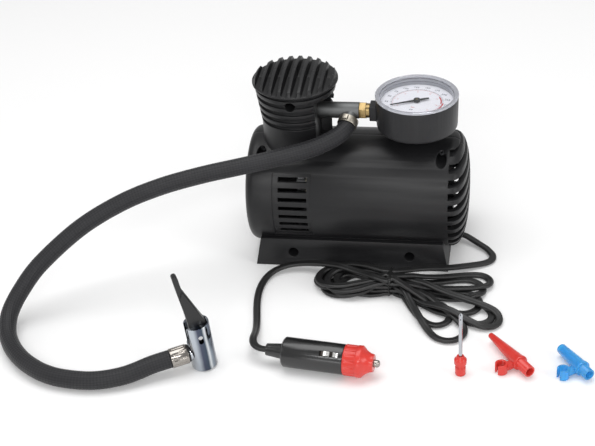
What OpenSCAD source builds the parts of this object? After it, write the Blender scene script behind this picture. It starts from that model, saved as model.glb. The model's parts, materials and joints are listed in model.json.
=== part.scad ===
// Portable 12 V tire inflator: motor barrel, finned pump head, gauge, hose with lever chuck,
// tied power cord with its plug, and three loose adapters.
// X runs along the motor barrel, Y points to the back, Z is up. The floor is z = 0.

/* [Barrel] */
// Outer radius of the motor barrel
barrel_r = 41; // [39:0.5:45]
// Height of the barrel axis above the floor
axis_z = 45; // [43:0.5:48]
// Middle of the base to the closed end of the barrel
barrel_left = 73; // [71:0.5:78]
// Middle of the base to the start of the end grille
barrel_right = 67.5; // [66:0.5:72]
// Thickness of the moulded walls
wall = 2.6; // [2:0.1:3.2]
// Radius of the rounded edge at the closed end
end_round = 6; // [4:0.5:8]

/* [End grille] */
// How far the domed grille stands out of the barrel
grille_depth = 13; // [10:0.5:15]
// Depth of each grille slat, measured inwards
slat_depth = 4.2; // [3.2:0.2:5]
// Height of the air gap between two slats
slat_gap = 4.4; // [3.8:0.1:5]
// Distance from slat to slat
slat_pitch = 7.7; // [7.2:0.1:8]
// Number of air gaps
slat_count = 11; // [7:2:11]

/* [Base] */
// Half length of the base at the floor
base_half = 68; // [66:0.5:72]
// Half depth of the base at the floor
base_half_y = 39.3; // [38:0.1:42]
// Height of the ledge along the base
base_h = 21; // [19:0.5:23]
// How much each end leans in over that height
base_lean = 4; // [2:0.5:6]

/* [Side vents] */
// Number of vent slots on each side
vent_count = 7; // [5:1:7]
// Distance from slot to slot
vent_pitch = 6.5; // [6:0.1:6.8]
// Height of one slot
vent_h = 2.8; // [2:0.1:3.4]
// Length of one slot
vent_len = 20; // [14:0.5:21]
// Depth of the recessed panel around the slots
panel_recess = 0.9; // [0.5:0.1:1.2]

/* [Pump head] */
// Distance of the cylinder axis from the middle of the base
head_offset = 39; // [38:0.5:40]
// Radius of the head where it leaves the barrel
head_low_r = 24.2; // [23.8:0.1:25]
// Radius of the uppermost ring fin
head_high_r = 28.3; // [27.8:0.1:28.6]
// Number of ring fins
ring_count = 5; // [4:1:5]
// Distance from ring fin to ring fin
ring_pitch = 5.95; // [5.7:0.05:6.05]
// Thickness of one ring fin
ring_fin = 2.9; // [2.4:0.1:3.2]
// Depth of the grooves between the ring fins
ring_depth = 1.8; // [1.2:0.1:2.2]
// Radius of the cap
cap_r = 29.5; // [29.1:0.1:30.5]
// Number of cooling ribs across the cap
rib_count = 9; // [7:2:9]
// Distance from rib to rib
rib_pitch = 6.7; // [6.2:0.1:7]
// Width of one rib
rib_w = 3.3; // [2.6:0.1:3.8]
// Height of the ribs above the cap between them
rib_h = 2.7; // [2:0.1:3.2]
// How far the middle of the cap stands above its rim
cap_rise = 4.7; // [4.3:0.1:6]
// How much deeper the grooves between the ribs are in the middle of the cap than at its rim
groove_drop = 4; // [0:0.1:4.2]

/* [Housing screws] */
// Radius of the screw wells
well_r = 3.6; // [3.3:0.1:3.9]
// Radius of the screw shanks
screw_r = 1.5; // [1.3:0.05:1.6]
// Radius of the screw heads
screw_head_r = 2.9; // [2.5:0.1:3]

/* [Motor] */
// Radius of the motor can
motor_r = 17.5; // [16.5:0.1:17.8]
// Length of the motor can
motor_len = 51; // [48:0.5:52]
// Height of the motor shaft above the floor
motor_z = 28; // [27.6:0.1:28.5]
// Radius of the motor shaft
shaft_r = 1.6; // [1.5:0.05:1.8]

/* [Gears and crank] */
// Gear module
gear_m = 0.8; // [0.76:0.01:0.81]
// Teeth on the motor pinion
pinion_teeth = 12; // [11:1:13]
// Teeth on the crank gear
gear_teeth = 46; // [44:1:46]
// Width of the crank gear
gear_w = 6; // [4:0.5:6.5]
// Crank throw, half of the piston stroke
throw = 7; // [6.8:0.1:7.4]
// Length of the connecting rod between its eyes
rod_len = 32; // [31:0.1:32.2]
// Radius of the crank pin
crank_pin_r = 2.5; // [2:0.1:2.6]

/* [Cylinder] */
// Cylinder bore radius
bore_r = 9.5; // [8.8:0.1:9.6]
// Wall of the cylinder sleeve
sleeve_wall = 2; // [1.6:0.1:2.2]
// Running clearance of the piston and the shafts
run_gap = 0.05; // [0.03:0.01:0.08]

/* [Manifold and gauge] */
// Radius of the outlet manifold
tube_r = 5.7; // [5:0.1:6]
// Distance of the gauge axis from the middle of the base
gauge_x = 44.2; // [43.5:0.1:46]
// Radius of the gauge case at its rim
gauge_r = 28.4; // [27.4:0.1:28.8]
// Height of the gauge case
gauge_h = 23.4; // [22:0.1:24]
// Pointer angle at rest, from +X towards the back
needle_rest = 202; // [190:1:230]
// Pointer length from its hub
needle_len = 19; // [15:0.5:22]

/* [Hose and chuck] */
// Hose diameter
hose_d = 12; // [10:0.5:12]
// Outer radius of the chuck body
chuck_r = 8.4; // [8:0.1:9]
// Length of the chuck body
chuck_len = 34; // [33:0.5:38]
// Radius of the valve mouth
mouth_r = 4.1; // [4:0.05:4.3]
// How far the chuck leans towards its hose, in degrees
chuck_lean = 5; // [3:0.5:7]
// Length of the lever above its pin
lever_len = 47; // [40:0.5:50]

/* [Plug] */
// Radius of the black plug barrel
plug_r = 9.8; // [9.4:0.1:10]
// Radius of the red plug collar
collar_r = 10.4; // [10.2:0.05:10.45]
// Length of the plug barrel
plug_len = 40.6; // [38:0.2:44]
// Length of the cylindrical part of the collar
collar_len = 13; // [10:0.5:15]

/* [Cord] */
// Width of the flat twin cord
cord_w = 5; // [4:0.1:5]
// Thickness of the flat twin cord
cord_t = 2.6; // [2:0.1:2.8]

/* [Adapters] */
// Length of the steel ball needle above its base
ball_len = 33; // [28:0.5:40]
// Radius of the steel ball needle
ball_r = 1.2; // [1:0.1:1.5]
// Length of the red nozzle
red_len = 44; // [40:0.5:48]
// Length of the blue nozzle
blue_len = 31; // [28:0.5:36]

/* [Hidden] */
$fn = 64;
fit = 0.2;              // clearance of parts that drop into the housing
face = 0.02;            // clearance of pressed and screwed parts
open_gap = 0.3;         // clearance at the opened crank pivot
big = 400;

hx = -head_offset;
barrel_in = barrel_r - wall;
inner_dome = barrel_r - slat_depth;
slat_rim = 2.4;         // band left above and below the outermost gaps

// Base and screw posts
post_r = well_r + 1.2;
tab_half = 9;
tab_len = 5;
screw_floor = -9;       // depth of the wells: screw heads seat here
screw_tip = 9;
post_low_z = 10.6;
post_low_x = 41;
post_high_z = axis_z + 34.7;
post_high_x = 62.1;
post_head_z = axis_z + 76;
posts = [[-post_low_x, post_low_z], [post_low_x, post_low_z], [-post_high_x, post_high_z],
    [post_high_x, post_high_z], [hx, post_head_z]];

// Pump head heights
ring_z0 = axis_z + 53.5;
ring_z1 = ring_z0 + ring_count * ring_pitch - 0.8;
cap_z0 = ring_z1;
rim_z = cap_z0 + 1.6;   // top of the cap's outer edge
cap_top = rim_z + rib_h + cap_rise;
head_wall = ring_depth + wall;
notch_x = -23.5;        // flat where the manifold comes out
notch_y = 7;
notch_z0 = axis_z + 30;
notch_z1 = axis_z + 74.8;

// Vents
vent_x0 = -49.5;
vent_mid_z = axis_z + 3;
panel_margin = 4;

// Pump frame, gears and crank
plate_x0 = -24;
plate_t = 4;
motor_x0 = plate_x0 + plate_t;
motor_x1 = motor_x0 + motor_len;
bell_t = 4;
brush_x = motor_x1 - 7;
gear_x0 = -33;
gear_x1 = gear_x0 + gear_w;
mesh_gap = 0.1;
crank_z = motor_z + gear_m * (pinion_teeth + gear_teeth) / 2 + mesh_gap;
gear_top = crank_z + gear_m * (gear_teeth / 2 + 1);
rod_t = 6;
rod_x0 = hx - rod_t / 2;
rod_x1 = hx + rod_t / 2;
pin_x0 = rod_x1 + open_gap;
crank_shaft_r = 4;
boss_r = 5.4;
boss_x1 = -12;
big_eye_r = crank_pin_r + 3;
wrist_r = 1.5;
wrist_z = crank_z - throw + rod_len;

// Cylinder stack
shelf_z0 = gear_top + 0.8;
shelf_t = 3;
shelf_z1 = shelf_z0 + shelf_t;
sleeve_r = bore_r + sleeve_wall;
piston_r = bore_r - run_gap;
piston_up = 6;
piston_down = 4.6;
cyl_top = wrist_z + 2 * throw + piston_up + 1.6;
valve_t = 1.6;
valve_z = cyl_top + valve_t;
block_half = 12.4;
head_h = 11.4;
head_top = valve_z + head_h;
tie_half = 10;          // cylinder screws stand on a square of twice this
tie_r = 1.25;
outlet_r = 2.2;
ball_valve_r = 2.6;
ball_valve_z = valve_z + sqrt(ball_valve_r * ball_valve_r - outlet_r * outlet_r) + 0.04;
chamber_r = 3.4;
chamber_top = head_top - 2.6;

// Manifold
tube_z = valve_z + 5.6;
tube_x0 = hx + block_half + 0.2;
tube_x1 = 4.6;
spigot_r = 4.1;
barb_az = 254;          // direction of the hose outlet
barb_dip = 27;
barb_r = 4.4;
barb_len = 9;
clip_r = hose_d / 2 + 0.9;
barb_slant = cos(barb_dip) * abs(cos(barb_az));
clip_z0 = (tube_r + fit + clip_r * barb_slant) / sqrt(1 - barb_slant * barb_slant);
nut_x1 = tube_x1 + 4.9;
spigot_in_r = 3;
port_r = 1.4;

// Gauge
gauge_z1 = axis_z + 73;
gauge_z0 = gauge_z1 - gauge_h;
gauge_wall = 2.4;
gauge_floor = 3;
gauge_draft = 0.6;      // how much narrower the case is at its floor
case_r = gauge_r - gauge_wall;
stem_x0 = 11.9;
stem_half = 5.4;
stem_z = tube_z - 0.1;
bezel_r = gauge_r + 0.1;
skirt_r = case_r - fit;
window_r = skirt_r - 0.9;
lip_r = window_r + 0.7;
lens_z = gauge_z1 - 0.8;
dial_z = gauge_z1 - 6;
dial_t = 0.8;
ledge_half = 9;
spindle_r = 0.8;
sector_m = 0.35;
spindle_teeth = 12;
sector_teeth = 84;
sector_d = sector_m * (spindle_teeth + sector_teeth) / 2 + 0.08;
sector_hole_at = 8.5;
movement_z = gauge_z0 + gauge_floor;
movement_h = 9.4;
spindle_z0 = movement_z + 0.6;
tube_ring_r = 21;
tube_band = 5;

// Chuck
chuck_at = [-82, -153.5];
chuck_az = 27;
chuck_lift = chuck_r * sin(chuck_lean);
port_z = 12;
lip_h = 2.5;
seal_h = 8.5;
seal_r = 6.4;
bore_top = 20;
lever_z = 27;
lever_t = 7.2;
slot_half = lever_t / 2 + 0.25;
lever_pin_r = 1.5;
cam_r = 5.4;
plunger_t = 3;
plunger_z0 = lip_h + seal_h + 1.6;
plunger_top = lever_z - cam_r - 0.1;
ferrule_x0 = -21;
ferrule_x1 = -9.6;
crimp_count = 10;
crimp_r = 1.3;

// Plug
plug_at = [-30.1, -149.6, collar_r + 0.05];
plug_turn = -7;
plug_wall = 2.2;
shoulder_len = 2.4;
nose_len = 3.6;
nose_r = 5.8;
tip_r = 2.4;
tip_out = 4;
flange_s = plug_len + collar_len - 2.1;
fuse_len = 30;
contact_angle = 51;     // height of the upper side contact above the level
contact_s = 31.8;
contact_len = 12;
contact_w = 3;
contact_out = 1.1;
relief_len = 11.5;
relief_r = 3.9;
grip_len = collar_len - 1.6;
flute_count = 16;
flute_r = 1.6;
flute_deep = 0.45;

// Gland and cord
gland_x1 = base_half + 5;
gland_z = 5.2;
gland_r = 3.4;
tie_x = 30;
tie_w = 4;
tie_t = 1;
hank_low = 11;
hank_mid = 14.6;
hank_high = 8.4;
hank_y0 = -74;
hank_y1 = -56;

// Adapters
ball_at = [83, -149.5];
ball_base = [[0, 0], [3.4, 0], [3.4, 5.6], [2.6, 6.2], [2.6, 7.6], [4, 8.2], [4, 11.6], [3, 12.6],
    [2.2, 14.4], [0, 14.4]];
ball_seat = 4;
red_at = [100.5, -115.3];
red_turn = -54;
blue_at = [145.6, -125.2];
blue_turn = -56;
nozzle_r = 5.2;
nozzle_butt_r = 3.8;

// Ends of the hose and of the cord on the manifold, the chuck and the plug
function tube_point(s) = [0, 0, tube_z]
    + s * [cos(barb_az) * cos(barb_dip), sin(barb_az) * cos(barb_dip), -sin(barb_dip)];
function chuck_point(x, z) = [chuck_at[0], chuck_at[1], chuck_lift] + [
    (x * cos(chuck_lean) - z * sin(chuck_lean)) * cos(chuck_az),
    (x * cos(chuck_lean) - z * sin(chuck_lean)) * sin(chuck_az),
    x * sin(chuck_lean) + z * cos(chuck_lean)];
function plug_point(s) = plug_at + s * [cos(plug_turn), sin(plug_turn), 0];

// Routes of the hose and of the two free stretches of the cord
hose_route = [tube_point(barb_len), tube_point(barb_len + 6), [-7.5, -18.5, 96], [-14, -24, 94],
    [-23, -29.5, 92], [-33, -34, 90.5], [-52, -40, 87.5], [-72, -46, 85], [-98, -54, 82], [-125, -62.5, 77],
    [-151, -72, 69], [-178, -85, 56], [-204, -100, 36], [-216, -113, 22.5], [-221, -127, 13.5],
    [-219, -141, 8.5], [-213, -152.5, 6.3], [-204, -163.5, 6.1], [-194, -172, 6.1], [-182, -179, 6.1],
    [-168, -183, 6.1], [-148, -183.6, 6.2], [-129, -178.2, 7.2], chuck_point(ferrule_x0 - 12, port_z),
    chuck_point(ferrule_x0, port_z)];
lead_route = [[gland_x1, 0, gland_z], [gland_x1 + 3, 0, gland_z], [79.5, -1.2, 4.5], [84, -4, 3.4],
    [89, -8, 2.6], [95, -13, 2],
    [100, -17.5, 2], [101.5, -23, 2.2], [99, -28, 3], [93, -30.5, 4.2], [86, -33, 6.2], [78, -37, 9.2],
    [69, -42.2, 10.8], [60, -44.2, 11.4], [50, -45.2, 11.6], [42, -47.4, 11.6], [37.6, -50, 11.3],
    [36.2, -53, 11.2], [36.2, -55.5, 11.2]];
tail_route = [[20, -60, 12.8], [17, -60, 12.8], [10.5, -58, 12.6], [2, -54, 12.5], [-7, -50, 12.5],
    [-16, -46.8, 12.6],
    [-25, -45, 13], [-34, -44.6, 13.2], [-43, -45, 12], [-51, -47.5, 9], [-56.5, -52.5, 6],
    [-59.5, -59.5, 3.6], [-60.5, -68, 2], [-60.5, -78, 1.6], [-59, -90, 1.6], [-56.5, -103, 1.6],
    [-54.6, -113, 2.6], [-53.4, -122, 5], [-52.8, -130, 7.8], [-52.4, -136.5, 9.8], [-51.3, -141.8, 10.6],
    [-49.2, -145.6, 10.8], plug_point(-relief_len - 4), plug_point(-relief_len)];

// ---------- Shared shapes ----------

function arc(cx, cy, r, a0, a1, n) = [for (i = [0:n]) let (a = a0 + (a1 - a0) * i / n)
    [cx + r * cos(a), cy + r * sin(a)]];

// A domed edge that starts straight, from radius r at height h0, and closes on the axis at h0 + depth.
function dome(r, h0, depth, n, power = 2.5) = [for (i = [1:n]) let (a = 90 * i / n)
    [i == n ? 0 : r * pow(cos(a), 2 / power), h0 + depth * pow(sin(a), 2 / power)]];

// Points on a smooth curve through the route, with k steps from point to point.
function spline(p, k) = [for (i = [0:len(p) - 2], j = [0:k - 1])
    let (a = p[max(i - 1, 0)], b = p[i], c = p[i + 1], d = p[min(i + 2, len(p) - 1)], t = j / k)
    b + t / 2 * ((c - a) + t * ((2 * a - 5 * b + 4 * c - d) + t * (3 * (b - c) + d - a))),
    p[len(p) - 1]];

function unit(v) = v / norm(v);

module along_x(x0 = 0, y = 0, z = 0) {
    translate([x0, y, z]) rotate([0, 90, 0]) children();
}

module along_y(x, y0, z) {
    translate([x, y0, z]) rotate([-90, 0, 0]) children();
}

// A solid of revolution about the X axis from points [radius, x].
module turned_x(points, y = 0, z = 0) {
    along_x(0, y, z) rotate_extrude() polygon(points);
}

module box(lo, hi) {
    translate(lo) cube(hi - lo);
}

module pipe(r_out, r_in, h) {
    difference() {
        cylinder(r = r_out, h = h);
        translate([0, 0, -1]) cylinder(r = r_in, h = h + 2);
    }
}

// A closed tube swept along points; w across and t high.
module swept(path, w, t, sides) {
    n = len(path);
    rings = [for (i = [0:n - 1])
        let (dir = unit(path[min(i + 1, n - 1)] - path[max(i - 1, 0)]),
            side = unit(cross(dir, [0, 0, 1])), up = cross(side, dir))
        for (j = [0:sides - 1]) let (a = 360 * (j + 0.5) / sides)
            path[i] + side * w / 2 * cos(a) + up * t / 2 * sin(a)];
    polyhedron(rings, concat(
        [[for (j = [0:sides - 1]) j]],
        [[for (j = [sides - 1:-1:0]) (n - 1) * sides + j]],
        [for (i = [0:n - 2], j = [0:sides - 1]) let (k = (j + 1) % sides)
            [i * sides + j, (i + 1) * sides + j, (i + 1) * sides + k, i * sides + k]]));
}

// A compression spring standing on z = 0.
module coil(r, wire, turns, h, steps = 10, sides = 6) {
    n = turns * steps;
    rings = [for (i = [0:n]) let (a = 360 * i / steps, z = wire + (h - 2 * wire) * i / n)
        for (j = [0:sides - 1]) let (b = 360 * j / sides)
            [(r + wire * cos(b)) * cos(a), (r + wire * cos(b)) * sin(a), z + wire * sin(b)]];
    polyhedron(rings, concat(
        [[for (j = [0:sides - 1]) j]],
        [[for (j = [sides - 1:-1:0]) n * sides + j]],
        [for (i = [0:n - 1], j = [0:sides - 1]) let (k = (j + 1) % sides)
            [i * sides + j, (i + 1) * sides + j, (i + 1) * sides + k, i * sides + k]]));
}

// Half angle of an involute tooth at radius r, for a gear with n teeth of module m.
function inv(a) = tan(a) * 180 / PI - a;
function tooth_half(m, n, r) = let (rb = m * n / 2 * cos(20))
    86 / n + inv(20) - inv(r > rb ? acos(rb / r) : 0);

module gear_outline(m, n, first = 0, last = undef) {
    rp = m * n / 2;
    radii = [rp - 1.2 * m, rp - 0.35 * m, rp + 0.35 * m, rp + 0.95 * m];
    teeth = is_undef(last) ? n - 1 : last;
    polygon(concat(
        [for (i = [first:teeth]) let (a = 360 * i / n) each concat(
            [for (k = [0:3]) let (t = tooth_half(m, n, radii[k])) radii[k] * [cos(a - t), sin(a - t)]],
            [for (k = [3:-1:0]) let (t = tooth_half(m, n, radii[k])) radii[k] * [cos(a + t), sin(a + t)]])],
        is_undef(last) ? [] : [[0, 0]]));
}

// ---------- Housing ----------

module barrel_form() {
    turned_x(concat([[0, -barrel_left]],
        arc(barrel_r - end_round, end_round - barrel_left, end_round, -90, 0, 8),
        [[barrel_r, barrel_right]], dome(barrel_r, barrel_right, grille_depth, 10, 2.7)), 0, axis_z);
}

module barrel_hollow() {
    r = end_round - wall / 2;
    turned_x(concat([[0, wall - barrel_left]],
        arc(barrel_in - r, r + wall - barrel_left, r, -90, 0, 6),
        [[barrel_in, barrel_right], [inner_dome, barrel_right]],
        dome(inner_dome, barrel_right, grille_depth - slat_depth + 1, 8)), 0, axis_z);
}

module base_form(inset = 0) {
    bottom = inset > 0 ? wall - 0.2 : 0;
    top = inset > 0 ? base_h - wall : base_h;
    intersection() {
        along_y(0, -big / 2, 0) linear_extrude(big) polygon([[-base_half + inset, -bottom],
            [base_half - inset, -bottom], [base_half - base_lean - inset, -top],
            [base_lean - base_half + inset, -top]]);
        along_x(-big / 2) linear_extrude(big) polygon([[-bottom, -base_half_y + inset],
            [-bottom, base_half_y - inset], [-top, base_half_y - base_lean / 2 - inset],
            [-top, base_lean / 2 - base_half_y + inset]]);
    }
}

module notch(grow = 0) {
    box([notch_x - grow, -big, notch_z0], [big / 2, notch_y + grow, notch_z1 + grow]);
}

function head_r(z) = head_low_r + (head_high_r - head_low_r) * (z - ring_z0) / (ring_z1 - ring_z0);

module head_form() {
    translate([hx, 0, 0]) rotate_extrude() polygon(concat(
        [[0, axis_z], [head_low_r, axis_z], [head_low_r, ring_z0]],
        [for (i = [0:ring_count - 1]) let (z = ring_z0 + i * ring_pitch) each
            [[head_r(z), z], [head_r(z + ring_fin), z + ring_fin],
            [head_r(z + ring_fin) - ring_depth, z + ring_fin],
            [head_r(z + ring_pitch) - ring_depth, min(z + ring_pitch, cap_z0)]]],
        [[cap_r - 0.8, cap_z0], [cap_r, cap_z0 + 0.6], [cap_r, rim_z], [cap_r - 0.6, rim_z + 0.6],
        [cap_r - 0.9, rim_z + rib_h - 1.2], [cap_r - 2.1, rim_z + rib_h + 0.5]],
        cap_curve(cap_r - 3.4, rim_z + rib_h, cap_rise)));
}

// Height of a shallow dome over a rim at z, at radius r, and points along it up to the axis.
function cap_z(r, z, rise) = z + rise * (1 - pow(r / cap_r, 2));
function cap_curve(r, z, rise) = [for (i = [0:7]) let (q = r * (1 - i / 7)) [q, cap_z(q, z, rise)]];
groove_rise = cap_rise - groove_drop;

// What the cap loses between its ribs: everything above a lower dome, in bands across Y.
module rib_gaps() {
    difference() {
        for (i = [0:rib_count]) let (x = hx + (i - rib_count / 2) * rib_pitch)
            translate([x, 0, cap_z0 + big / 4]) cube([rib_pitch - rib_w, big, big / 2], center = true);
        translate([hx, 0, 0]) rotate_extrude() polygon(concat([[0, 0], [cap_r + 5, 0], [cap_r + 5, rim_z],
            [cap_r, rim_z]], cap_curve(cap_r - 1.2, rim_z + 0.2, groove_rise)));
    }
}

module head_hollow() {
    r_low = head_low_r - head_wall;
    r_high = head_high_r - head_wall;
    difference() {
        translate([hx, 0, 0]) rotate_extrude() polygon([[0, axis_z], [r_low, axis_z], [r_low, ring_z0],
            [r_high, ring_z1], [r_high - 4, cap_z(r_high - 4, rim_z, groove_rise) - wall - 0.3],
            [0, cap_z(0, rim_z, groove_rise) - wall - 0.3]]);
        notch(wall);
    }
}

module posts_form() {
    for (p = posts) {
        along_y(p[0], -big / 2, p[1]) cylinder(r = post_r, h = big);
    }
}

module motor_cradle() {
    x = motor_x1 - 6;
    difference() {
        along_x(x, 0, axis_z) cylinder(r = barrel_in + wall / 2, h = wall);
        along_x(x - 1, 0, motor_z) cylinder(r = motor_r + fit, h = wall + 2);
        box([x - 1, -23, motor_z + motor_r + 5], [x + wall + 1, 23, axis_z + 27]);
    }
}

module frame_seats() {
    for (x = [plate_x0 - fit - 1.6, plate_x0 + plate_t + fit]) {
        along_x(x, 0, axis_z) pipe(barrel_in + wall / 2, barrel_in - 2, 1.6);
    }
}

module housing_shell() {
    difference() {
        union() {
            difference() {
                union() {
                    barrel_form();
                    base_form();
                    difference() { head_form(); rib_gaps(); }
                }
                barrel_hollow();
                head_hollow();
                difference() {
                    base_form(wall);
                    along_x(-big / 2, 0, axis_z) cylinder(r = barrel_r, h = big);
                }
            }
            intersection() {
                union() { barrel_form(); base_form(); difference() { head_form(); rib_gaps(); } }
                union() { posts_form(); motor_cradle(); frame_seats(); }
            }
        }
        notch_cut();
        // grille gaps, each a level band from one side to the other
        for (i = [0:slat_count - 1]) let (z = (i - (slat_count - 1) / 2) * slat_pitch,
            lo = max(z - slat_gap / 2, slat_rim - barrel_r), hi = min(z + slat_gap / 2, barrel_r - slat_rim))
            if (hi - lo > 0.8)
                box([barrel_right, -big / 2, axis_z + lo], [barrel_right + big / 4, big / 2, axis_z + hi]);
        for (side = [-1, 1]) vents(side);
        // hole for the manifold and half-round seat for the cord gland
        along_x(notch_x - 2 * wall, 0, tube_z) cylinder(r = tube_r + fit, h = 4 * wall);
        along_x(base_half - base_lean - 3 * wall, 0, gland_z) cylinder(r = gland_r + face, h = 30);
        // way for the cord's wires from the base up into the barrel
        box([barrel_right - 20, -6, wall], [barrel_right - 9, 6, axis_z - barrel_in + 5]);
    }
}

// The notch stops on the outside of the barrel.
module notch_cut() {
    difference() {
        notch();
        along_x(-big / 2, 0, axis_z) cylinder(r = barrel_r, h = big);
    }
}

module vents(side) {
    z_lo = vent_mid_z - (vent_count - 1) / 2 * vent_pitch;
    y0 = side > 0 ? 0 : -big / 2;
    for (i = [0:vent_count - 1]) {
        translate([vent_x0, y0, z_lo + i * vent_pitch - vent_h / 2]) cube([vent_len, big / 2, vent_h]);
    }
    difference() {
        translate([vent_x0 - panel_margin, y0, z_lo - panel_margin])
            cube([vent_len + 1.7 * panel_margin, big / 2, (vent_count - 1) * vent_pitch + 2 * panel_margin]);
        along_x(-big / 2, 0, axis_z) cylinder(r = barrel_r - panel_recess, h = big);
    }
}

module housing_front() color([0.19, 0.19, 0.2]) {
    difference() {
        intersection() { housing_shell(); box([-big, -big, -1], [big, 0, big]); }
        for (p = posts) {
            along_y(p[0], -big / 2, p[1]) cylinder(r = well_r, h = big / 2 + screw_floor);
            along_y(p[0], screw_floor - 1, p[1]) cylinder(r = screw_r + 0.15, h = big);
        }
    }
    // tab that locates the two floors
    box([-tab_half, -1, 0], [tab_half, tab_len, wall - 0.2]);
}

module housing_rear() color([0.19, 0.19, 0.2]) {
    difference() {
        intersection() { housing_shell(); box([-big, 0, -1], [big, big, big]); }
        for (p = posts) {
            along_y(p[0], -1, p[1]) cylinder(r = screw_r + face, h = screw_tip + 2);
        }
        box([-tab_half - 0.15, -1, -1], [tab_half + 0.15, tab_len + 0.15, wall - 0.1]);
    }
}

module screws() color([0.45, 0.45, 0.47]) {
    for (p = posts) {
        along_y(p[0], screw_floor - 2, p[1]) pipe(screw_head_r, 0.9, 1);
        along_y(p[0], screw_floor - 1, p[1]) cylinder(r = screw_head_r, h = 1);
        along_y(p[0], screw_floor, p[1]) cylinder(r = screw_r, h = screw_tip - screw_floor);
    }
    for (x = [-1, 1], y = [-1, 1]) translate([hx + x * tie_half, y * tie_half, 0]) {
        translate([0, 0, head_top]) cylinder(r = 2.4, h = 1.6);
        translate([0, 0, cyl_top - 1.6]) cylinder(r = tie_r, h = head_top - cyl_top + 1.6);
    }
}

// ---------- Motor ----------

module motor_can() color("lightsteelblue") {
    difference() {
        union() {
            along_x(motor_x0, 0, motor_z) cylinder(r = motor_r, h = motor_len);
            along_x(plate_x0 + 0.5, 0, motor_z) cylinder(r = 5.8, h = plate_t);
        }
        along_x(motor_x0 + 1.2, 0, motor_z) cylinder(r = motor_r - 1.2, h = motor_len);
        along_x(plate_x0 - 1, 0, motor_z) cylinder(r = shaft_r + run_gap, h = 10);
    }
}

module motor_end_bell() color("dimgray") {
    difference() {
        union() {
            along_x(motor_x1, 0, motor_z) cylinder(r = motor_r, h = bell_t);
            along_x(motor_x1 - 2, 0, motor_z) cylinder(r = motor_r - 1.2 - face, h = 3);
            along_x(motor_x1 + bell_t - 0.5, 0, motor_z) cylinder(r = 4.5, h = 2.5);
            for (s = [-1, 1]) box([motor_x1 + bell_t - 0.5, s * 11 - 2.4, motor_z - 0.4],
                [motor_x1 + bell_t + 4, s * 11 + 2.4, motor_z + 0.4]);
            for (s = [-1, 1]) box([brush_x - 1, min(s * 5.2, s * 12.5), motor_z - 3],
                [motor_x1 - 1, max(s * 5.2, s * 12.5), motor_z + 3]);
        }
        box([brush_x - face, -10 - face, motor_z - 1.6 - face],
            [brush_x + 4.6 + face, 10 + face, motor_z + 1.6 + face]);
        along_x(motor_x1 - 4, 0, motor_z) cylinder(r = shaft_r + run_gap, h = 20);
    }
}

module motor_magnets() color([0.25, 0.24, 0.24]) {
    intersection() {
        along_x(motor_x0 + 8, 0, motor_z) pipe(motor_r - 1.2 - face, motor_r - 4, motor_len - 22);
        for (s = [-1, 1]) box([-big, s > 0 ? 7 : -big, motor_z - 13], [big, s > 0 ? big : -7, motor_z + 13]);
    }
}

module motor_brushes() color([0.15, 0.15, 0.15]) {
    for (s = [-1, 1]) {
        box([brush_x, min(s * 4.1, s * 10), motor_z - 1.6],
            [brush_x + 4.6, max(s * 4.1, s * 10), motor_z + 1.6]);
    }
}

module rotor_shaft() color("silver") {
    along_x(gear_x0 - 1, 0, motor_z) cylinder(r = shaft_r, h = motor_x1 + bell_t + 3 - gear_x0);
}

module core_slots(extra = 0) {
    for (i = [0:4]) along_x(motor_x0 + 12 - extra, 0, motor_z) rotate([0, 0, i * 72 + 36]) {
        translate([8, 0, 0]) cylinder(r = 2.8, h = motor_len - 30 + 2 * extra);
        translate([8, -0.8, 0]) cube([6, 1.6, motor_len - 30 + 2 * extra]);
    }
}

module armature_core() color([0.5, 0.5, 0.52]) {
    difference() {
        along_x(motor_x0 + 12, 0, motor_z) cylinder(r = motor_r - 4.6, h = motor_len - 30);
        core_slots(1);
        along_x(motor_x0, 0, motor_z) cylinder(r = shaft_r + face, h = motor_len);
    }
}

module armature_windings() color([0.72, 0.4, 0.2]) {
    x0 = motor_x0 + 12;
    x1 = x0 + motor_len - 30;
    for (x = [x0 - 4.2, x1 + 0.2]) along_x(x, 0, motor_z) pipe(11.2, 4.4, 4);
    for (i = [0:4]) along_x(x0 - 1, 0, motor_z) rotate([0, 0, i * 72 + 36])
        translate([8, 0, 0]) cylinder(r = 2.7, h = x1 - x0 + 2);
}

module commutator() color([0.75, 0.45, 0.25]) {
    difference() {
        along_x(motor_x1 - 7.6, 0, motor_z) pipe(4, shaft_r + face, 5.4);
        for (i = [0:4]) along_x(motor_x1 - 8, 0, motor_z) rotate([0, 0, i * 72])
            translate([3.2, -0.25, 0]) cube([2, 0.5, 8]);
    }
}

module motor_pinion() color([0.8, 0.7, 0.4]) {
    along_x(gear_x0, 0, motor_z) difference() {
        rotate([0, 0, 180 / pinion_teeth * (1 - pinion_teeth % 2)]) linear_extrude(gear_w)
            gear_outline(gear_m, pinion_teeth);
        translate([0, 0, -1]) cylinder(r = shaft_r + face, h = gear_w + 2);
    }
}

// ---------- Frame, gear and crank ----------

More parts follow.
